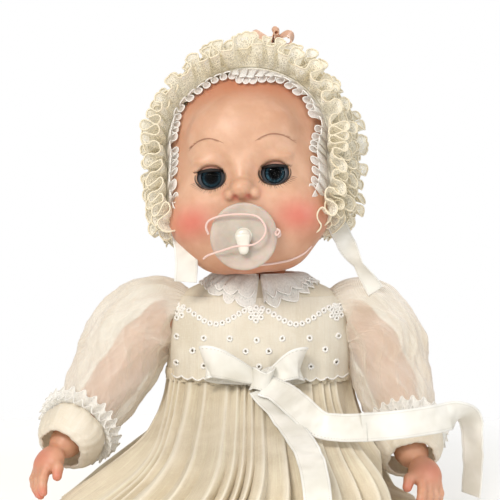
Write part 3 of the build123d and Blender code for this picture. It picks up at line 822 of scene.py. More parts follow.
def make_eye(name):
    side, body = SIGN[name], f"eye_{name}"
    eye = EYE * vec(side, 1, 1)
    looks = {"eyeball": EYE_WHITE, "eye_lens": LENS, "iris": iris_paint(name), "eyelid": LID_PAINT}
    looks.update(eye_case=CASE, eye_axle=WIRE, eye_weight=IRON)
    for node, material in looks.items():
        repaint(f"{node}_{name}", material)

    def on_ball(radius, a, lift=0.0):
        e = math.radians(LID_ANGLE) + np.radians(lift)
        return eye + radius * np.stack([np.sin(a), -np.cos(a) * np.cos(e), np.cos(a) * np.sin(e)], axis=-1)

    # the painted rim of the lid, then the glued strip and its lashes
    angle = np.radians(np.linspace(-50, 50, 60))
    radius = np.interp(np.abs(angle), [0, 1.1], [0.42, 0.18])
    rim = tube(on_ball(BALL_RADIUS + 0.42, angle), radius, 8)
    make_all(f"lid_rim_{name}", [rim], RIM_PAINT, body, (), "lid_paint", place=head)
    rng = np.random.default_rng(21)
    radius = np.interp(np.abs(angle), [0, 0.9], [0.95, 0.4])
    hairs = [tube(on_ball(BALL_RADIUS + 0.75, angle, -1.5), radius, 8)]
    lash_count = 110
    t = np.linspace(0, 1, 6)[:, None]
    for i in range(lash_count):
        a = math.radians(lerp(-49, 49, (i + rng.uniform(0.1, 0.9)) / lash_count))
        root = on_ball(BALL_RADIUS + 0.7, np.array(a), 1.5)
        fan = math.sin(a) * 1.15 + rng.normal(0, 0.1)
        length = rng.uniform(2.0, 2.9) * (1.0 + 0.2 * abs(math.sin(a)))
        out = unit(vec(fan, -1.0, -0.25 + rng.normal(0, 0.07)))
        curl = vec(0, -0.25, 1.0) * 0.5
        path = root + out * length * t + curl * length * t**2 - vec(0, 0, 0.15) * length * t
        hairs.append(tube(path, np.linspace(0.085, 0.015, 6), 4))
    make_all(f"lashes_{name}", hairs, LASH, body, [f"eyelashes_{name}"], "lash_fibre", place=head)
    # fine lashes painted on the face below and outside the opening
    turn = np.radians(np.linspace(-196, 16, 15))
    rim = [(eye[0] + side * (0.2 + 7.35 * math.cos(a)), eye[2] - 0.1 + 5.45 * math.sin(a)) for a in turn]
    strokes = [painted_stroke(rim, (0.3, 0.9, 1.0, 0.9, 0.3), 0.16, 5)]
    for i in range(18):
        t = (i + rng.uniform(0.2, 0.8)) / 18
        a = math.radians(lerp(-150, -18, t))
        start = eye[[0, 2]] + vec(side * (0.2 + 8.1 * math.cos(a)), 0.1 + 6.0 * math.sin(a))
        away = unit(vec(side * (math.cos(a) + 0.45), math.sin(a) * 0.9))
        length = rng.uniform(1.6, 2.6) * (0.6 + 0.7 * t)
        middle = start + away * length * 0.5 + vec(0, -0.08)
        strokes.append(painted_stroke([start, middle, start + away * length], (0.2, 0.16, 0.05), 0.1, 3))
    make_all(f"painted_lashes_{name}", strokes, LASH_PAINT, "head", (), "lash_fibre", place=head)


# ---------------------------------------------------------------- pacifier
def make_pacifier():
    def part(name, parts, material, node, slot):
        moved = [(points + MOUTH, faces) for points, faces in parts]
        make_all(name, moved, material, "pacifier", [node], slot, place=head)

    bead = [(14.6 + 0.85 * math.sin(t), -0.75 - 0.85 * math.cos(t)) for t in np.linspace(0, np.pi, 9)]
    face = [(0.02, -1.15), (3.0, -1.2), (8, -1.3), (12.4, -1.5), (13.6, -1.75)]
    points, faces = lathe(face + bead + [(12, 0.1), (5, 0.35), (0.02, 0.4)])
    part("shield", [(points, faces[:, ::-1])], FROSTED, "pacifier_shield", "shield_clear")
    teat = [(0.02, 13.5), (2.0, 13.2), (3.1, 11.5), (3.3, 8.5), (2.6, 6), (2.3, 3), (2.9, 0.5), (2.9, 0.2)]
    teat.append((0.02, 0.2))
    part("teat", [lathe(teat, 40)], FROSTED, "pacifier_nipple", "shield_clear")
    # tapered moulded knob on a round post
    rows, angle = [], circle(36)
    c, q = np.cos(angle), np.sin(angle)
    for t in np.linspace(0, 1, 30):
        half = lerp(3.9, 1.9, t) * math.sqrt(max(1e-4, 1 - (abs(2 * t - 1)) ** 7))
        deep = lerp(2.4, 1.5, t) * math.sqrt(max(1e-4, 1 - (abs(2 * t - 1)) ** 6))
        x = half * np.sign(c) * np.abs(c) ** 0.6
        y = deep * np.sign(q) * np.abs(q) ** 0.6 - 3.5
        rows.append(np.stack([x, y, np.full(36, lerp(1.6, -8.6, t))], axis=1))
    post = lathe([(0.02, -4.9), (2.2, -4.8), (3.1, -4.2), (3.3, -2.2), (3.7, -1.3), (4.3, -1.1)], 40)
    grip = np.vstack(rows), grid_faces(30, 36, wrap=True)
    part("knob", [grip, post], KNOB, "pacifier_knob", "knob_white")
    strand = [(-19.0, -1.0, -9.0), (-16.4, -3.0, -7.6), (-9, -4.6, -5.8), (-3.6, -5.0, -4.6)]
    strand += [(3.6, -5.0, -4.4), (7.4, -4.8, -3.0), (10.2, -4.4, 0.2), (10.4, -4.2, 4.0), (7.3, -4.0, 8.2)]
    strand += [(1.4, -3.8, 9.8), (-7.8, -3.4, 10.0), (-14.6, -3.0, 8.4), (-16.7, -2.6, 5.4)]
    strand.append((-15.9, -1.6, 2.0))
    knot = [(15.6, -3.0, 2.2), (16.9, -4.2, 0.9), (15.6, -4.4, -0.8), (14.9, -3.0, 0.4)]
    knot += [(16.3, -2.6, 1.8), (16.9, -3.2, -0.6), (15.8, -4.0, -1.6)]
    cords = [tube(spline(strand, 220), 0.48, 8), tube(spline(knot, 50), 0.5, 8)]
    part("cord_loop", cords, PINK_CORD, "pacifier_cord_loop", "cord_pink")
    a = np.linspace(0, 2 * np.pi, 160)
    ring = np.stack([15.4 * np.sin(a), -15.4 * np.cos(a), 5 + 0.6 * np.sin(3 * a)], axis=1)
    under = spline([(2, 10.6), (8.2, 11.0), (14, 11.6), (19.5, 12.6), (25, 15.0), (29, 18.5)], 60)
    hang = np.stack([under[:, 0], SKULL.front(under[:, 0], under[:, 1]) - 0.45, under[:, 1]], axis=1)
    cords = [tube(ring, 0.55, 8, True), tube(hang, 0.5, 8)]
    make_all("cord_neck", cords, PINK_CORD, "head", ["pacifier_cord_neck"], "cord_pink", place=head)


# ---------------------------------------------------------------- bonnet
LEAN = math.radians(24)
LEAN_Y = vec(0, math.cos(LEAN), -math.sin(LEAN))
LEAN_Z = vec(0, math.sin(LEAN), math.cos(LEAN))
FACE_EDGE = vec(0, -14, 64)
ROW_STEP = 9.4


def crown(back, angle, out):
    """Point over the grown skull, `back` millimetres behind the face edge, at an angle from the top."""
    back, angle = np.broadcast_arrays(np.asarray(back, float), np.asarray(angle, float))
    start = FACE_EDGE + back[..., None] * LEAN_Y
    way = np.sin(angle)[..., None] * vec(1, 0, 0) + np.cos(angle)[..., None] * LEAN_Z
    reach = None
    for centre, radii in (CRANIUM, FACE):
        r = radii + out
        o, d = (start - centre) / r, way / r
        aa, bb, cc = (d * d).sum(-1), (o * d).sum(-1), (o * o).sum(-1) - 1
        root = bb * bb - aa * cc
        t = np.where(root < 0, 0.0, (-bb + np.sqrt(np.maximum(root, 0))) / aa)
        reach = t if reach is None else -smooth_min(-reach, -t, 4.0)
    return start + way * reach[..., None], way


def edge_shift(angle, back):
    """The lace comes down over the forehead: how far forward of the face edge, by angle from the top."""
    return 13.5 * np.exp(-((np.asarray(angle) / 0.95) ** 2)) * ease(34, 0, back)


def lowest_angle(back):
    """How far round from the top the bonnet comes at this distance back."""
    angles = np.radians(np.linspace(20, 180, 321))
    points, _ = crown(back, angles, 3.4)
    bad = (points[:, 2] < 23) | ((np.hypot(points[:, 0], points[:, 1]) < 31) & (points[:, 2] < 60))
    return angles[np.argmax(bad)] if bad.any() else math.radians(178)


def gathered(row, layer):
    """One gathered lace frill round the bonnet: its points and its cloth."""
    width = (11.6, 8.8, 6.4)[layer] * (1.0, 1.0, 0.98, 0.94, 0.88)[row]
    tilt = (-2.8, -1.7, -0.7, 0.1, 0.7)[row] + (0.5, 0.6, 0.5, 0.4, 0.4)[row] * layer
    seed = 100 + 17 * row + 5 * layer
    samples, across = 1500, 11
    back = row * ROW_STEP + 1.2 + 3.1 * layer
    w = np.linspace(-1, 1, samples)
    angle = w * (lowest_angle(back) - 0.02)
    base, outward = crown(back - edge_shift(angle, back), angle, 2.6)
    length = lengths(base)
    waves = 27 + int(np.random.default_rng(seed).integers(-2, 3))
    phase = 2 * np.pi * waves * (w * 0.5 + 0.5) + 3.4 * wander(samples, samples / 16, seed + 1)
    ends = ease(1.0, 0.88, np.abs(w))
    size = (1.0 + 0.35 * wander(samples, samples / 30, seed + 2)) * (0.12 + 0.88 * ends)
    lie = 0.55 * wander(samples, samples / 12, seed + 3)
    scallop = np.abs(np.sin(np.pi * (length[-1] * 1.9 / 3.6) * (w * 0.5 + 0.5)))
    reach = width * (1 + 0.10 * wander(samples, samples / 22, seed + 4))
    reach = reach * (1 + 0.28 * np.exp(-((angle / 0.8) ** 2))) * (0.95 + 0.06 * scallop) * (0.2 + 0.8 * ends)
    direction = unit(outward + (tilt + 0.45 * lie)[:, None] * LEAN_Y)
    across_cloth = unit(LEAN_Y - tilt * outward)
    side = unit(np.gradient(base, axis=0))
    swell = 4.4 * size
    v = np.linspace(0, 1, across)
    lean_out = (v**1.15)[None, :] * reach[:, None]
    wave_back = (v**0.8)[None] * (swell * np.sin(phase))[:, None]
    wave_side = -v[None] * (0.34 * swell * np.sin(2 * phase))[:, None]
    roll = (v**3)[None] * (1.2 + 1.8 * lie)[:, None]
    points = base[:, None] + direction[:, None] * lean_out[..., None]
    points = points + across_cloth[:, None] * (wave_back + roll)[..., None]
    return points + side[:, None] * wave_side[..., None], cloth_map((length * 2.2)[:, None], v * width)


def make_bonnet():
    for row in range(5):
        sheets = [gathered(row, layer) for layer in range(3)]
        names, node = (f"ruffle_{row + 1}", f"ruffle_cord_{row + 1}"), f"bonnet_ruffle_{row + 1}"
        make_frill(names, sheets, (0.42, 5), BONNET_LACE, "head", [node], "ivory_lace", place=head)
    # the narrow white frill that frames the face
    samples, across = 1500, 9
    w = np.linspace(-1, 1, samples)
    angle = w * (lowest_angle(0.6) - 0.12)
    side = unit(np.gradient(crown(0.6 - edge_shift(angle, 0), angle, 1.0)[0], axis=0))
    phase = 2 * np.pi * 40 * (w * 0.5 + 0.5) + 2.6 * wander(samples, 60, 7)
    ends = ease(1.0, 0.92, np.abs(w))
    reach = 13.0 * (0.9 + 0.14 * np.abs(np.sin(phase))) * (1 + 0.14 * wander(samples, 60, 9))
    reach = reach * (0.25 + 0.75 * ends)
    v = np.linspace(0, 1, across)
    sheet = []
    for value in v:
        spot, normal = crown(4.0 - edge_shift(angle, 0) - reach * value, angle, 1.4)
        lift = ends * value**1.3 * (1.5 + 1.9 * np.sin(phase)) + 0.6 * value
        sheet.append(spot + normal * lift[:, None] - side * (value * 1.1 * ends * np.sin(2 * phase))[:, None])
    frill = np.stack(sheet, axis=1), cloth_map(np.linspace(0, 560, samples)[:, None], v * 7)
    names = "face_frill", "face_frill_cord"
    make_frill(names, [frill], (0.28, 5), WHITE_LACE, "head", (), "white_lace", place=head)
    # the cap under the frills, gathered into a small button at the back
    rows, columns, button_start = 90, 420, 7.0
    s = np.linspace(0.2, 1, rows)
    tries = np.linspace(50, 80, 241)
    reach = np.linalg.norm(crown(tries, np.zeros(241), 4.6)[0] - FACE_EDGE - tries[:, None] * LEAN_Y, axis=1)
    backs = lerp(1.0, tries[reach > button_start][-1], np.sin((s - 0.2) / 0.8 * np.pi / 2))
    grid, cloth = [], []
    for back in backs:
        limit = lowest_angle(back)
        angle = np.linspace(-limit, limit, columns)
        points, outward = crown(back - edge_shift(angle, back), angle, 1.8 + 2.8 * ease(46, 58, back))
        gather = 0.7 * ease(44, 70, back) * np.sin(angle * 46 + 1.4 * wander(columns, 12, 3))
        grid.append(points + outward * gather[:, None])
        cloth.append(cloth_map(angle * 45, back))
    middle = FACE_EDGE + backs[-1] * LEAN_Y
    for share in (0.85, 0.65, 0.45, 0.25, 0.08):
        grid.append(lerp(middle + LEAN_Y * 3.0 * (1 - share**2), grid[rows - 1], share))
        cloth.append(cloth[rows - 1] + vec(0, 8 * (1 - share), 0))
    faces, tags = grid_faces(len(grid), columns), {"cloth": np.vstack(cloth)}
    points = head(np.vstack(grid))
    make("cap", points, faces, BONNET_CLOTH, "head", ["bonnet_cap"], "bonnet_cloth", tags, 0.7)


# ---------------------------------------------------------------- ribbons
def ribbon(path, across, width, fold, ripple, seed, twist=0.0):
    """Flat ribbon along a path, as points, faces and cloth; `across` is the way its width runs."""
    path = np.asarray(path, float)
    n, columns = len(path), 11
    tangent = unit(np.gradient(path, axis=0))
    across = np.broadcast_to(np.asarray(across, float), path.shape)
    side = unit(across - tangent * np.sum(across * tangent, axis=1, keepdims=True))
    normal = np.cross(tangent, side)
    c, s = (f(np.broadcast_to(twist, (n,)))[:, None] for f in (np.cos, np.sin))
    side, normal = side * c + normal * s, normal * c - side * s
    v = np.linspace(-0.5, 0.5, columns)
    lean, swell = ripple * wander(n, 14, seed), ripple * wander(n, 9, seed + 1)
    lift = lean[:, None] * v * 2 + fold * (4 * v**2 - 1) + 0.5 * swell[:, None] * np.cos(2 * np.pi * v)
    width = np.broadcast_to(np.asarray(width, float), (n,))
    points = path[:, None] + side[:, None] * (width[:, None] * v)[..., None]
    points = points + normal[:, None] * lift[..., None]
    return points, grid_faces(n, columns), cloth_map(lengths(path)[:, None], v + 0.5)


def make_ribbon(name, parts, node, body="torso", thickness=0.4, look=SATIN):
    """One piece of satin from several lengths of ribbon."""
    cloth = np.vstack([cloth.reshape(-1, 3) for _, _, cloth in parts])
    parts = [(points, faces) for points, faces, _ in parts]
    return make_all(name, parts, look, body, [node], "satin_ribbon", {"cloth": cloth}, thickness)


LEFT_TIE = [(36, -13, 135), (39, -17, 129), (43, -17, 121)]
LEFT_TIE += [(47.5, -16, 114), (52.5, -14, 107), (55, -14, 103)]
RIGHT_TIE = [(-38, -12, 137), (-36, -20, 130), (-34.5, -24.5, 123), (-34, -26.5, 116), (-34.5, -26.5, 108)]


def make_bonnet_ribbons():
    count, loose_end = 90, 10
    left, right = (spline(line, count) for line in (LEFT_TIE, RIGHT_TIE))
    left_twist = np.radians(along(count, [0, 0.25, 0.6, 1], [0, 10, 75, 20]))
    right_twist = np.radians(along(count, [0, 0.5, 1], [8, -4, 14]))
    left_width = along(count, [0, 0.3, 0.62, 1], [11, 9.5, 6, 8.5])
    ties = (
        ("left", left, (0.75, 0.5, 0.15), left_width, left_twist, left[-30]),
        ("right", right, (1, 0.12, 0.12), 10.5, right_twist, right[-1] - vec(0, 0, loose_end)),
    )
    for name, path, across, width, twist, loose in ties:
        strip = ribbon(path, across, width, 0.5, 0.5, 40 + SIGN[name], twist)
        tie = make_ribbon(f"tie_{name}", [strip], f"bonnet_tie_{name}", None, 0.35)
        tuple(path[12] * MM)
        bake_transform(tie)
    middle = centre_mm("bonnet_ribbon_knot")
    t = np.linspace(0, 1, 60)[:, None]
    swing, twice = np.sin(np.pi * t), np.sin(2 * np.pi * t)
    parts = []
    for angle, size, back in ((20, 11, 1.5), (160, 10, 1.5), (70, 8.5, -3.0), (215, 7.5, -2.5)):
        a = math.radians(angle)
        out = vec(math.cos(a), 0.12, 0.35 * math.sin(a))
        path = middle + vec(0, back * 0.5, -1.5) + out * (size * swing**0.8)
        path = path + vec(0, 0, 1) * (2.9 * twice * (1 if angle < 180 else -1)) + vec(0, 0, 1.2) * swing
        parts.append(ribbon(path, (0.25, 0.8, 0.6), 5.5 + 2.5 * swing[:, 0], 0.3, 0.25, 60 + angle))
    t = np.linspace(0, 2 * np.pi, 50)
    wrap = middle + np.stack([2.6 * np.cos(t), 0 * t, -1.0 + 2.4 * np.sin(t)], axis=1)
    parts.append(ribbon(wrap, (0, 1, 0), 5.0, 0.4, 0.1, 75))
    make_ribbon("bonnet_bow", parts, "bonnet_ribbon_knot", "head", 0.35, PEACH)


BOW = vec(1, -43.6, 64.5)
SHORT_TAIL = [(0.5, -46.0, 60.5), (3.5, -51.5, 56.6), (9, -64.5, 52.0), (15.5, -84.5, 45.6)]
SHORT_TAIL += [(20, -109, 40.4), (22, -127, 33.5), (23, -136.4, 22.5), (23.2, -139, 12)]
LONG_TAIL = [(2, -47, 62), (9, -52, 60), (16.5, -68, 55.6), (25, -81.5, 49.6)]
LONG_TAIL += [(35, -83.6, 48.2), (46, -82.8, 48.2)]
DRAPED_TAIL = [(44, -83.2, 48.2), (60, -78.6, 48.8), (76, -71.4, 50.0), (88, -61.4, 50.8)]
DRAPED_TAIL += [(94, -53.5, 48), (96.2, -49, 38), (96.6, -47, 24), (96, -46, 12)]


def make_sash():
    t = np.linspace(0, 1, 140)
    swing = np.sin(np.pi * t) ** 0.8
    nodes = sorted(("sash_loop_left", "sash_loop_right"), key=lambda node: centre_mm(node)[0])
    for side, name, node, size, up in ((-1, "left", nodes[0], 23.0, 0.3), (1, "right", nodes[1], 16.0, 0.38)):
        path = BOW + vec(side * 2.5, -0.5, 0.6) + vec(side, 0, up) * (size * swing)[:, None]
        path = path + vec(0, 1, 0) * (-3.4 * np.sin(2 * np.pi * t) + 3.2 * swing)[:, None]
        path = path + vec(0, 0, 1) * (1.6 * np.sin(2 * np.pi * t))[:, None]
        loop = ribbon(path, (0.34 * side, 0.1, 1), 5.4 + 10.2 * swing**0.8, 0.8, 0.55, 80 + side)
        make_ribbon(f"bow_{name}", [loop], node)
    t = np.linspace(0, 2 * np.pi, 80)
    wrap = BOW + np.stack([4.9 * np.cos(t), 4.0 * np.sin(t) - 0.5, 0.9 * np.sin(t * 2 + 0.5)], axis=1)
    fill = spline([BOW + vec(-6, 2.5, 1), BOW + vec(0, -1.5, 0), BOW + vec(6, 2.5, -1)], 40)
    knot = [ribbon(wrap, (0.15, 0, 1), 9.5 + 1.2 * np.cos(2 * t), 0.8, 0.3, 90)]
    knot.append(ribbon(fill, (0.1, 0.1, 1), 8.0, 1.0, 0.2, 93))
    make_ribbon("bow_knot", knot, "sash_knot")
    short = ribbon(spline(SHORT_TAIL, 200), (1, 0.15, 0.1), 11.6, 0.3, 0.55, 100)
    make_ribbon("tail_short", [short], "sash_tail_short")
    across = [along(160, [0, 0.5, 1], c) for c in ((0.9, 0.3, 0.05), (0.2, 0.5, 0.3), (0.3, 0.8, 1))]
    long_ = ribbon(spline(LONG_TAIL, 160), np.stack(across, axis=1), 12.4, 0.4, 0.5, 110)
    make_ribbon("tail_long", [long_], "sash_tail_long")
    table = (0.05, 0.0, 0.6, 0.55), (0.3, 0.35, -0.8, -0.8), (1, 1, 0.35, 0.0)
    across = [along(220, [0, 0.45, 0.62, 1], c) for c in table]
    draped = ribbon(spline(DRAPED_TAIL, 220), np.stack(across, axis=1), 12.6, 0.5, 0.7, 120)
    tail = make_ribbon("tail_draped", [draped], "sash_tail_draped", None)
    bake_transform(tail)


# ---------------------------------------------------------------- arms, legs and trunk
ARM_LINES = {
    "right": [(-38, 2, 88), (-45, 2, 86), (-57, 1, 76), (-69, -5, 60), (-79, -20, 47), (-88, -36, 36)],
    "left": [(38, 2, 88), (45, 2, 86), (55.5, 0, 76), (63.5, -9, 59), (66, -26, 46), (68, -44, 33)],
}
ARM_RADII = (10.5, 11.5, 11.3, 10.6, 9.5, 7.4)
# palm, the way the fingers point, the way the thumb points
HANDS = {
    "right": (vec(-97, -47, 27), unit((-0.5, -0.45, -0.75)), unit((0.55, -0.8, 0.2))),
    "left": (vec(75, -57, 23), unit((0.25, -0.55, -0.8)), unit((-0.75, -0.65, 0.1))),
}
# spread across the palm, length, curl and radius of each finger
FINGERS = ((5.1, 0.9, 0.5, 2.35), (1.8, 1.0, 0.62, 2.4), (-1.6, 0.96, 0.74, 2.3), (-4.7, 0.84, 0.9, 2.05))
LEG_LINE = [(28, -4, 20), (38, -4, 20), (42, -16, 18), (40.5, -28, 16.5)]
LEG_LINE += [(34, -48, 15.5), (29, -72, 14), (25, -92, 12)]
LEG_RADII = (10, 12, 11.2, 10.6, 11.4, 10.6, 8.4)
# height, half width and half depth of the trunk
TRUNK = [(0.3, 20, 15), (5, 25.5, 22), (20, 31, 29), (40, 32.5, 31), (60, 36.5, 30.5)]
TRUNK += [(80, 36, 26), (91, 31, 21.5), (99, 17.5, 17), (103.5, 13.2, 13.2)]


def make_arm(name):
    line, (palm, fingers, thumb) = ARM_LINES[name], HANDS[name]
    across = unit(thumb - fingers * (thumb @ fingers))
    inward = np.cross(fingers, across)
    inward = inward * (1 if inward @ vec(-SIGN[name], 0.3, -0.4) > 0 else -1)
    low, high = box_mm(f"arm_{name}")
    clay = Clay(low - 4, high + 4, 0.72)
    clay.limbs(3.0, line, ARM_RADII)
    wrist = np.array(line[-1], float)
    axes = np.stack([across, fingers, inward])
    clay.lump(2.5, wrist + 0.2 * (palm - wrist), (7.6, 6.5, 6.6), axes)
    clay.dent(1.6, wrist + (palm - wrist) * 0.42 - inward * 9.6, (6, 1.2, 3), axes)
    clay.lump(3.0, palm - fingers * 1.0, (7.8, 8.0, 5.0), axes)
    clay.lump(2.2, palm - fingers * 1.5 + across * 4.5 + inward * 1.8, (3.8, 5.5, 3.6), axes)
    tips = []
    for spread, length, curl, radius in FINGERS:
        at = palm + fingers * 4.2 + across * spread
        heading = unit(fingers + across * spread * 0.045)
        for step, size in enumerate((4.9, 3.9, 3.1)):
            turn = curl * (0.35 + 0.55 * step)
            end = at + unit(heading * math.cos(turn) + inward * math.sin(turn)) * size * length
            clay.limb(0.9, at, end, radius, radius * 0.93)
            at, radius = end, radius * 0.93
        tips.append(at)
    start = palm - fingers * 1.0 + across * 5.5 + inward * 1.2
    middle = start + unit(across * 0.9 + fingers * 0.5 + inward * 0.3) * 4.6
    end = middle + unit(across * 0.45 + fingers * 0.95 + inward * 0.35) * 4.4
    clay.limb(1.5, start, middle, 2.9, 2.6)
    clay.limb(0.8, middle, end, 2.6, 2.2)
    tips.append(end)
    for spread in (3.4, 0.1, -3.1):
        back = palm + across * spread
        clay.groove(0.9, back + fingers * 3.0 - inward * 4.9, back + fingers * 6 - inward * 3.6, 0.25, 0.7)
    points, quads = clay.mesh()
    blush = sum(0.7 * near(points, tip, (3, 3, 3)) for tip in tips)
    blush = blush + 0.45 * near(points, palm - inward * 4, (9, 9, 6)) + 0.3 * near(points, line[3], (9, 9, 9))
    # the deep tag warms the whole arm towards orange-brown and adds painted shade at the wrist, under the
    # cuff
    deep = 0.4 + 0.3 * near(points, wrist, (6, 6, 6))
    tints = {"blush": np.clip(blush, 0, 1), "deep": np.clip(deep, 0, 1) * 0.8}
    make(f"forearm_{name}", points, quads, VINYL, f"arm_{name}", [f"arm_{name}"], "vinyl_skin", tints)


def make_leg(name):
    side = SIGN[name]
    low, high = box_mm(f"leg_{name}")
    clay = Clay(low - 3, high + 3, 0.85)
    line = [vec(side * x, y, z) for x, y, z in LEG_LINE]
    clay.limbs(3.0, line, LEG_RADII)
    clay.dent(2.0, line[3] + vec(0, 0, 12), (9, 1.6, 2.6))
    heel, ball = vec(side * 25, -92, 12), vec(side * 24, -98.5, 25)
    clay.limb(3.0, heel, ball, 8.8, 7.0)
    clay.lump(2.0, heel + vec(0, 2, -1.5), (7.6, 8.0, 7.6))
    toes = [vec(side * (18.6 + 2.9 * i), -99.5, 30.4 - 0.9 * i) for i in range(5)]
    for toe, radius in zip(toes, (2.5, 1.9, 1.8, 1.7, 1.6)):
        clay.limb(0.9, toe - vec(0, -1, 3), toe, 2.2, radius)
    points, quads = clay.mesh()
    blush = sum(0.6 * near(points, toe, (3, 4, 3)) for toe in toes)
    blush = blush + 0.35 * near(points, line[3], (12, 12, 12))
    # the deep tag warms the leg a little and adds painted shade at the hip, under the skirt
    tints = {"blush": np.clip(blush, 0, 1), "deep": 0.3 + 0.2 * near(points, line[1], (14, 14, 14))}
    make(f"shin_{name}", points, quads, VINYL, f"leg_{name}", [f"leg_{name}"], "vinyl_skin", tints)


def make_trunk():
    """Trunk of the body, seen at the neckline and when the legs swing down."""
    rows, columns = 90, 120
    z, half_width, half_depth = spline(TRUNK, rows).T[:, :, None]
    a = circle(columns)
    y = -half_depth * np.cos(a) + ease(60, 90, z)
    points = np.stack(np.broadcast_arrays(half_width * np.sin(a), y, z), axis=-1).reshape(-1, 3)
    points[:, 1] -= near(points, (0, -28, 50), (22, 14, 18)) * 1.6  # belly
    points = np.vstack([points, (0, 0, 0.3)])
    faces = np.vstack([grid_faces(rows, columns, wrap=True)[:, ::-1], fan_faces(rows * columns, 0, columns)])
    # painted shade: the deep tag darkens the trunk under the dress, most at the neck under the head
    deep = 0.55 + 0.35 * ease(96, 104, points[:, 2])
    tints = {"blush": deep * 0, "deep": deep}
    make("trunk", points, faces, VINYL, "torso", ["torso_shell"], "vinyl_skin", tints)


# ---------------------------------------------------------------- dress
# height, half width, half depth and the middle's y
BODICE = [(60.5, 44.2, 38.0, 0), (66.4, 43.6, 36.2, 0), (76, 43.6, 34.8, 0), (88, 42.8, 30.6, 1)]
BODICE += [(95, 41.4, 27, 1.6), (100, 38.2, 23.6, 2), (104.5, 31, 20.6, 2), (108.6, 20.5, 18.6, 2)]
BODICE = spline(BODICE, 400)
# the same, and the middle's x
SKIRT = [(0.6, 88, 100, -36, -12), (10, 78, 95.8, -38.8, -8), (20, 66.5, 92, -40, -3.5)]
SKIRT += [(28, 57.5, 87.8, -39.3, -1), (36, 50, 77.5, -32.5, 0), (44, 46.3, 59, -17, 0)]
SKIRT = spline(SKIRT + [(52, 44.5, 46, -6, 0), (61.3, 43, 38.5, 0, 0)], 300)


def bodice_point(z, angle, out=0.0):
    """Point on the bodice at a height and an angle from the front, positive to the doll's left."""
    z, angle = np.broadcast_arrays(np.asarray(z, float), np.asarray(angle, float))
    hw, hd, cy = read_table(BODICE, z)
    return np.stack([(hw + out) * np.sin(angle), cy - (hd + out) * np.cos(angle), z], axis=-1)


def make_bodice():
    rows = 120
    z = np.linspace(60.8, 108.6, rows)[:, None]
    panels = ("front", -90, 90, 260), ("back_left", 91, 179.2, 140), ("back_right", -179.2, -91, 140)
    for part, first, last, columns in panels:
        node = f"bodice_{part}"
        angle = np.radians(np.linspace(first, last, columns))[None]
        pucker = 0.35 * np.sin(angle * 58 + 1.2 * wander(columns, 9, 4)[None]) * ease(78, 64, z)
        points = bodice_point(z, angle, 0.35 + pucker)
        tags, faces = {"cloth": cloth_map(angle * 42, z)}, grid_faces(rows, columns)
        make(f"{node}_cloth", points, faces, BODICE_CLOTH, "torso", [node], "bodice_cloth", tags, 0.5)
    # pearl buttons down the back placket
    button = [(0.02, -1.3), (1.2, -1.25), (2.1, -0.9), (2.5, -0.2), (2.4, 0.4), (1.5, 0.75), (0.7, 0.55)]
    points, faces = lathe(button + [(0.02, 0.5)], 40)
    parts = [(points + vec(0, y, z), faces) for z, y in ((70, 38.0), (80, 36.3), (90, 31.8))]
    make_all("buttons", parts, PEARL, "torso", ["back_buttons"], "pearl_button")


WAVE_HEIGHT, WAVE_LENGTH, WAVE_SHIFT = 3.8, 38.0, 1.6


def wavy_row(x):
    """Height of the eyelet row across the overlay."""
    return 92.4 + WAVE_HEIGHT * np.cos(2 * np.pi * (x + WAVE_SHIFT) / WAVE_LENGTH)


def eyelets():
    """Centre and radius of each worked hole in the overlay."""
    holes, x = [], -41.5
    turn = 2 * math.pi / WAVE_LENGTH
    while x < 42:
        slope = WAVE_HEIGHT * turn * math.sin(turn * (x + WAVE_SHIFT))
        holes.append((x, float(wavy_row(x)), 0.5))
        x += 2.9 / math.sqrt(1 + slope * slope)
    for peak in (-39.0, -1.6, 36.4):
        for k in range(7):
            a = 2 * math.pi * k / 6
            r = 0 if k == 6 else 2.7
            holes.append((peak + r * math.sin(a), 93.2 + r * math.cos(a), 0.52))
    rng = np.random.default_rng(3)
    for i in range(7):
        for j in range(3):
            x = -38 + 12.4 * i + (6.2 if j % 2 else 0) + rng.uniform(-1.2, 1.2)
            z = 70.2 + 5.9 * j + rng.uniform(-0.8, 0.8)
            if z < wavy_row(x) - 4.2 and abs(x) < 42:
                holes.append((x, z, 0.66))
    return [(x, z, r) for x, z, r in holes if abs(x) < 40 and z < 99]


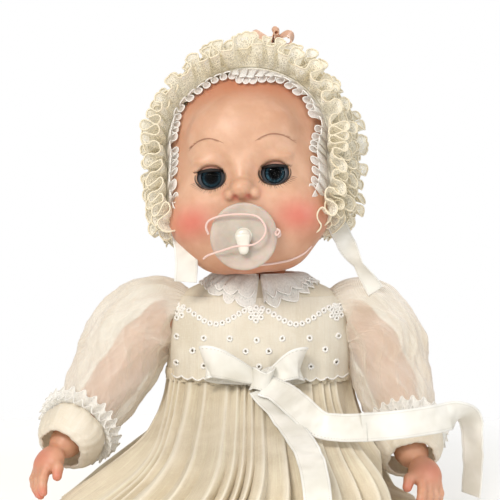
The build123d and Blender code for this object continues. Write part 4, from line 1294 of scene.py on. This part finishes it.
def make_overlay():
    """Sheer front of the bodice with worked eyelets and a scalloped hem."""
    nx, nz, half, top = 330, 150, 42, 100.5
    gx, gt = np.meshgrid(np.linspace(-half, half, nx), np.linspace(0, 1, nz))

    def hem_at(x):
        return 64.2 - 1.3 * np.abs(np.sin(np.pi * x / 5.2))

    hem = hem_at(gx)
    gz = hem + (top - hem) * gt
    flare = 1.0 + 2.6 * ease(84, 62, gz) * (1 + 0.22 * wander(nx, 11, 8)[None]) * ease(44, 30, np.abs(gx))
    flare = flare + 0.35 * np.sin(gx * 0.62 + 1.1 * wander(nx, 20, 3)[None]) * ease(90, 66, gz)
    z = np.maximum(gz, 60.6)
    half_width = next(read_table(BODICE, z)) + flare
    points = bodice_point(z, np.arcsin(np.clip(gx / half_width, -1, 1)), flare)
    points[..., 2] = gz
    quads = grid_faces(nz, nx)
    middle = np.stack([gx, gz], axis=-1).reshape(-1, 2)[quads].mean(axis=1)
    keep = np.ones(len(quads), bool)
    stitching = []
    a = np.linspace(0, 2 * np.pi, 22)
    for hx, hz, r in eyelets():
        keep &= np.hypot(middle[:, 0] - hx, middle[:, 1] - hz) > r
        px, pz = hx + (r + 0.42) * np.cos(a), hz + (r + 0.42) * np.sin(a)
        i = np.clip((px + half) / (2 * half) * (nx - 1), 0, nx - 1).astype(int)
        k = np.clip((pz - hem_at(px)) / (top - hem_at(px)) * (nz - 1), 0, nz - 1).astype(int)
        ring = points[k, i]
        ring[-1] = ring[0]
        stitching.append(tube(ring + vec(0, -0.25, 0), 0.58, 6, True))
    tags, node = {"cloth": cloth_map(gx, gz)}, "eyelet_overlay"
    make("overlay", points, quads[keep], EYELET_CLOTH, "torso", [node], "eyelet_cloth", tags, 0.3)
    stitching.append(tube(points[0] + vec(0, -0.1, 0), 0.42, 6))
    make_all("eyelet_stitching", stitching, CORD_WHITE, "torso", (), "eyelet_cloth")


def neckline(angle, z):
    """Points round the neck opening at height z."""
    x, y = 18.2 * np.sin(angle), 2 - 18.0 * np.cos(angle)
    return np.stack(np.broadcast_arrays(x, y, z), axis=-1)


def make_collar():
    """Scalloped lace collar in two gathered layers, open in a small V at the front."""
    sheets = []
    n, m = 1100, 12
    w, v = np.linspace(0, 1, n), np.linspace(0, 1, m)
    for layer, (outer, start) in enumerate(((106.4, 0.8), (107.6, 1.2))):
        angle = np.radians(lerp(start, 360 - start, w))[:, None]
        at_opening = np.exp(-np.minimum(w, 1 - w) * 30)[:, None]
        angle = angle + np.radians(2.2) * v * np.where(w < 0.5, 1, -1)[:, None] * at_opening
        phase = 2 * np.pi * (24 + 2 * layer) * w + 1.6 * wander(n, 40, 90 + layer)
        scallop = 0.8 + 0.27 * np.abs(np.sin(phase / 2)) ** 0.7
        top = neckline(angle, 110.4 + 0.8 * layer)
        dip = (9.6 - 3.4 * layer) * np.maximum(np.cos(angle), 0) ** 4
        low = bodice_point(outer - dip, angle, 1.8 + 1.2 * layer)
        t = (v[None] * scallop[:, None])[..., None]
        puff = np.sin(np.pi * np.clip(t, 0, 1)) * (1.2 + 0.6 * layer)
        puff = puff + v[None, :, None] * (0.9 * np.sin(phase))[:, None, None]
        outward = unit(low - vec(0, 2, 0)) * vec(1, 1, 0)
        points = lerp(top, low, t) + puff * vec(0, 0, 1) * 0.7 + puff * outward * 0.9
        sheets.append((points, cloth_map((w * 330)[:, None], v[None] * 9.0)))
    band = tube(neckline(np.radians(np.linspace(5, 355, 300)), 110.6), 0.75, 8)
    names = "collar", "collar_cord"
    make_frill(names, sheets, (0.42, 6), WHITE_LACE, "torso", ["collar_lace"], "white_lace", [band])


def clear_of(points, start, end, radius, away):
    """Pushes points out of a bar, towards `away` rather than over its top."""
    s, e = np.array(start, float), np.array(end, float)
    line = e - s
    t = np.clip(((points - s) @ line) / (line @ line), 0, 1)
    gap = points - (s + t[:, None] * line)
    way = unit(unit(gap) + np.asarray(away) * 1.2)
    push = np.maximum(radius - np.linalg.norm(gap, axis=1), 0)
    return points + way * push[:, None] * 1.15


def folds(columns, count, seed):
    """Smooth random values round a ring, changing `count` times on the way."""
    k = np.random.default_rng(seed).uniform(-1, 1, count)
    at = np.linspace(0, 1, columns, endpoint=False) * count
    i, f = at.astype(int) % count, at % 1.0
    f = f * f * (3 - 2 * f)
    return k[i] * (1 - f) + k[(i + 1) % count] * f


PLEATS = 40


def skirt_shape(rows, columns, seed=50):
    """Knife pleats at the waist opening into deep soft folds on the floor."""
    t = np.linspace(0, 1, rows)[:, None] ** 0.9
    a = circle(columns)
    z = lerp(61.8, 0.6, t)
    hw, hd, cy, cx = read_table(SKIRT, z)
    uneven = 0.6 * np.sin(3 * a) + 0.45 * np.sin(7 * a + 1) + 0.2 * np.sin(13 * a + 2)
    saw = (a * PLEATS / (2 * np.pi) + uneven) % 1.0
    knife = np.where(saw < 0.75, saw / 0.75, (1 - saw) / 0.25) - 0.5
    kernel = np.hanning(max(5, columns // 560) | 1)
    knife = np.convolve(np.r_[knife[-8:], knife, knife[:8]], kernel / kernel.sum(), "same")[8:-8]
    deep, mid, fine = (folds(columns, count, seed + k) for k, count in enumerate((22, 44, 80)))
    rise = 1.1 * (1 - 0.15 * t) + 1.3 * ease(0.1, 0.5, t) * ease(1.1, 0.6, t)
    angle = a + 0.012 * np.sin(2.2 * t * np.pi + 5 * a) * t
    shift = (deep * 5.6 + mid * 2.6) * ease(0.08, 0.7, t) + fine * 0.5 * ease(0.0, 0.5, t)
    shift = shift + knife * rise * 2.9 * (1 - 0.35 * ease(0.5, 1, t)) - 3.0 * ease(0.3, 0.9, t)
    steep = ease(0.25, 0.6, t) * ease(1.0, 0.72, t)
    z = z + (0.9 + 0.9 * deep) * ease(0.8, 1.0, t) * 0.6 + steep * (deep * 2.2 + mid * 1.3 + knife * 1.2)
    points = [cx + (hw + shift) * np.sin(angle), cy - (hd + shift) * np.cos(angle), np.maximum(z, 0.5)]
    return np.stack(points, axis=-1), cloth_map(a * 90.0, t * 110.0), knife


def make_skirt():
    rows, columns = 96, 1680
    points, cloth, knife = skirt_shape(rows, columns)
    flat = points.reshape(-1, 3)
    flat = clear_of(flat, (66, 0, 64), (69.5, -60, 21), 17.5, (-0.7, 0.2, -0.7))
    flat = clear_of(flat, (-79, -20, 47), (-92, -42, 30), 15.0, (0.8, 0.1, -0.5))
    thigh = 54.5 * np.exp(-((flat[:, 1] / 24) ** 4) - ((flat[:, 2] - 24) / 24) ** 4)
    flat[:, 0] = np.sign(flat[:, 0]) * np.maximum(np.abs(flat[:, 0]), thigh)
    flat[:, 2] = np.maximum(flat[:, 2], 0.5)
    # the knife pleats' crests get a painted highlight
    tags = {"cloth": cloth, "crest_highlight": np.tile(ease(0.2, 0.48, knife), rows)}
    faces = grid_faces(rows, columns, wrap=True)
    make("skirt_cloth", flat, faces, SKIRT_CLOTH, "torso", ["skirt"], "skirt_cloth", tags, 0.45)
    hem = flat.reshape(rows, columns, 3)[-3]
    stitch = tube((np.vstack([hem, hem[:1]]) + vec(0, 0, 0.35))[::3], 0.24, 5, True)
    make_all("skirt_hem_stitch", [stitch], CORD_IVORY, "torso", (), "skirt_cloth")


def make_waist_band():
    rows, columns = 14, 420
    z, a = np.linspace(61.0, 66.4, rows)[:, None], circle(columns)
    puff = 0.5 * np.sin(np.linspace(0, np.pi, rows))[:, None]
    pucker = 0.25 * np.sin(a * 60)
    band = np.broadcast_arrays((44.3 + puff + pucker) * np.sin(a), -(37.9 + puff + pucker) * np.cos(a), z)
    tags, faces = {"cloth": cloth_map(a * 42.0, z)}, grid_faces(rows, columns, wrap=True)
    points = np.stack(band, axis=-1)
    make("waist_band", points, faces, BODICE_CLOTH, "torso", ["waistband"], "bodice_cloth", tags, 0.5)


# ---------------------------------------------------------------- sleeves and cuffs
SLEEVE_LINES = {
    "right": [(-34, 2, 95), (-47.5, 1, 94.5), (-60.5, -2, 84), (-69, -10, 67), (-77, -20, 52)],
    "left": [(34, 2, 95), (47, 1, 94.5), (58, -2, 82), (62.5, -12, 64), (65.5, -25, 50)],
}
ARMHOLE_X = 33
SLEEVE_ENDS = {"right": (-82.5, -27.5, 43), "left": (66.6, -35, 40.5)}
SLEEVE_RADII = {"right": (8, 19.5, 22, 20.5, 18.5, 14.2), "left": (8, 19, 21, 19.5, 18.0, 14.2)}


def make_sleeve(name):
    n, m = 150, 220
    path = spline(SLEEVE_LINES[name] + [SLEEVE_ENDS[name]], n)
    radius = along(n, np.linspace(0, 1, 6), SLEEVE_RADII[name])
    radius = np.convolve(np.pad(radius, 8, mode="edge"), np.hanning(17) / np.hanning(17).sum(), "same")[8:-8]
    tangent = unit(np.gradient(path, axis=0))
    side = unit(np.cross(np.broadcast_to(vec(0, 1, 0.2), path.shape), tangent))
    normal = np.cross(tangent, side)
    a, s = circle(m), np.linspace(0, 1, n)
    wrinkle = np.zeros((n, m))
    for k in range(9):
        rng = np.random.default_rng((300 if name == "left" else 330) + k)
        count, turns, slant = int(rng.integers(3, 9)), rng.uniform(1.5, 5.0), rng.uniform(-0.7, 0.7)
        wave = np.sin(count * a[None] + 2 * np.pi * turns * s[:, None] * slant + rng.uniform(0, 6.28))
        wrinkle += rng.uniform(0.4, 0.9) * (1 - 2 * np.abs(wave) ** 0.75) * 0.42
    gather = np.sin(a * 38)[None] * (ease(0.14, 0.0, s) + ease(0.84, 1.0, s))[:, None] * 0.55
    fullness = (np.sin(np.pi * np.clip(s, 0.03, 0.97)) ** 0.6)[:, None]
    shape = radius[:, None] + wrinkle * fullness * 1.25 + gather
    ring = np.cos(a)[None, :, None] * side[:, None] + np.sin(a)[None, :, None] * normal[:, None]
    points = path[:, None] + ring * shape[..., None]
    points[..., 2] -= 1.6 * np.sin(np.pi * s)[:, None] * 0.6
    # nothing nearer the middle than the armhole
    points[..., 0] = np.where(np.abs(points[..., 0]) < ARMHOLE_X, SIGN[name] * ARMHOLE_X, points[..., 0])
    hem = (ease(0.2, 0.0, s) + ease(0.93, 1.0, s))[:, None] * 0.7 + 0.5 * ease(0.1, 1.6, wrinkle)
    tags = {"cloth": cloth_map(a * 17, s[:, None] * 75), "hem": hem}
    faces = grid_faces(n, m, wrap=True)
    sleeve = make(f"sleeve_{name}_organza", points, faces, ORGANZA, None, [f"sleeve_{name}"], "organza", tags)
    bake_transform(sleeve)


def make_cuff(name):
    elbow, wrist = (vec(*point) for point in ARM_LINES[name][-2:])
    body = f"arm_{name}"
    way = unit(wrist - elbow)
    side = unit(np.cross((0, 0.3, 1), way))
    up = np.cross(way, side)
    start = wrist - way * 8.2
    a, s = circle(300), np.linspace(0, 1, 36)[:, None]
    ring = np.cos(a)[:, None] * side + np.sin(a)[:, None] * up
    radius = 14.3 + 1.8 * np.sin(np.pi * s**0.8) - 2.6 * s**2 + 0.3 * np.sin(5 * a + 2) + 0.35 * np.sin(2 * a)
    b = a + 0.25 * np.sin(3 * s)
    fold = 0.5 * np.sin(9 * b + 1.5 * np.sin(2 * b)) + 0.35 * np.sin(17 * b + 2 * np.sin(3 * b) + 1)
    radius = radius + fold * (0.35 + 0.65 * np.abs(np.cos(2.6 * s))) * 0.5
    turn = ease(0.93, 1.0, s) * -1.4 + ease(0.06, 0.0, s) * -0.8
    stitch = -0.25 * np.exp(-(((s - 0.12) / 0.02) ** 2)) - 0.25 * np.exp(-(((s - 0.86) / 0.02) ** 2))
    points = start + way * (s * 15)[..., None] + ring * (radius + turn + stitch)[..., None]
    tags, faces = {"cloth": cloth_map(a * 15, s * 15)}, grid_faces(36, 300, wrap=True)
    make(f"cuff_{name}_cloth", points, faces, CUFF_CLOTH, body, [f"cuff_{name}"], "cuff_cloth", tags, 0.8)
    sheets = []
    w, v = np.linspace(0, 1, 1000)[:, None], np.linspace(0, 1, 9)
    b = w * 2 * np.pi
    ring = np.cos(b) * side + np.sin(b) * up
    for layer, (reach, lean) in enumerate(((6.8, -0.55), (5.4, 0.25))):
        phase = 2 * np.pi * (24 + 3 * layer) * w + 1.2 * np.sin(3 * b + layer)
        length = reach * (0.92 + 0.1 * np.abs(np.sin(phase)))
        out = 14.6 + (v * length) * 0.8
        back = lean * v * length + v**0.9 * (1.7 * np.sin(phase))
        points = start + ring[:, None] * out[..., None] + way * back[..., None]
        sheets.append((points, cloth_map(w * 190, v * reach)))
    names = f"cuff_lace_{name}_frill", f"cuff_cord_{name}"
    make_frill(names, sheets, (0.26, 5), WHITE_LACE, body, [f"cuff_lace_{name}"], "white_lace")


# ---------------------------------------------------------------- room
# name, where it stands in metres, its size, its watts and its colour
LIGHTS = (
    ("key", (-0.45, -0.75, 0.75), 0.45, 7.5, (1, 0.96, 0.9)),
    ("fill", (0.8, -0.7, 0.35), 0.7, 3.0, (0.95, 0.97, 1)),
    ("back", (0.3, 0.7, 0.8), 0.5, 4.0, (1, 1, 1)),
    ("low", (-0.2, -1.0, 0.05), 0.6, 1.4, (1, 0.98, 0.95)),
)
LIGHT_AIM = (0, 0, 0.12)
WORLD_STRENGTH = 0.58
CAMERA_AT, CAMERA_AIM, CAMERA_SLOPE = (-0.0045, -0.8, 0.15), (-0.0045, 0, 0.122), 0.12 / 0.8


def aimed(name, data, at, target):
    """Adds a light or camera looking at a target."""
    obj = bpy.data.objects.new(name, data)
    obj.location = at
    aim = mathutils.Vector(target) - obj.location
    obj.rotation_euler = aim.to_track_quat("-Z", "Y").to_euler()
    bpy.context.scene.collection.objects.link(obj)
    return obj


def fade_floor():
    """Pale floor that fades into the background away from the object."""
    s = Shader("pale_floor")
    p = s.coordinates()
    tone = s.mottle(p, 6, 3, 0.3, 0.7, srgb(250, 250, 249), srgb(246, 246, 245))
    surface = s.principled(Base_Color=tone, Roughness=0.7, Normal=s.bump(s.noise(p, 120, 3), 0.05, 0.3))
    return s.finish(s.over(s.length(p).step(0.16, 0.42), surface, s.clear()))


def make_room():
    rings, a = np.array([0, 60, 120, 200, 320, 500, 800, 1400.0])[:, None], circle(64)
    points = np.stack(np.broadcast_arrays(rings * np.cos(a), rings * np.sin(a), -0.4), axis=-1)
    floor = make("floor", points, grid_faces(8, 64, wrap=True), fade_floor())
    scene = bpy.context.scene
    scene.view_settings.view_transform = "Standard"
    world = scene.world = bpy.data.worlds.new("studio")
    world.use_nodes = True
    nodes, links = world.node_tree.nodes, world.node_tree.links
    nodes.clear()
    mix = nodes.new("ShaderNodeMixShader")
    # what lights the doll, then what the camera sees
    looks = ((1.0, 0.985, 0.96, 1), WORLD_STRENGTH), ((1, 1, 1, 1), 1.0)
    for slot, (colour, strength) in enumerate(looks, 1):
        background = nodes.new("ShaderNodeBackground")
        background.inputs[0].default_value, background.inputs[1].default_value = colour, strength
        links.new(background.outputs[0], mix.inputs[slot])
    links.new(nodes.new("ShaderNodeLightPath").outputs["Is Camera Ray"], mix.inputs[0])
    links.new(mix.outputs[0], nodes.new("ShaderNodeOutputWorld").inputs[0])
    for name, at, size, watts, colour in LIGHTS:
        light = bpy.data.lights.new(name, "AREA")
        light.shape, light.size, light.energy, light.color = "DISK", size, watts, colour
        aimed(name, light, at, LIGHT_AIM)


def make_camera():
    data = bpy.data.cameras.new("camera")
    data.sensor_width, data.sensor_height, data.sensor_fit = 36, 36, "HORIZONTAL"
    data.angle = 2 * math.atan(CAMERA_SLOPE)
    data.clip_start = 0.01
    bpy.context.scene.camera = aimed("camera", data, CAMERA_AT, CAMERA_AIM)


make_head()
make_pacifier()
make_bonnet()
make_bonnet_ribbons()
make_trunk()
for side_name in ("left", "right"):
    make_brow(side_name)
    make_eye(side_name)
    make_arm(side_name)
    make_leg(side_name)
    make_sleeve(side_name)
    make_cuff(side_name)
make_bodice()
make_overlay()
make_collar()
make_skirt()
make_waist_band()
make_sash()
make_room()
make_camera()
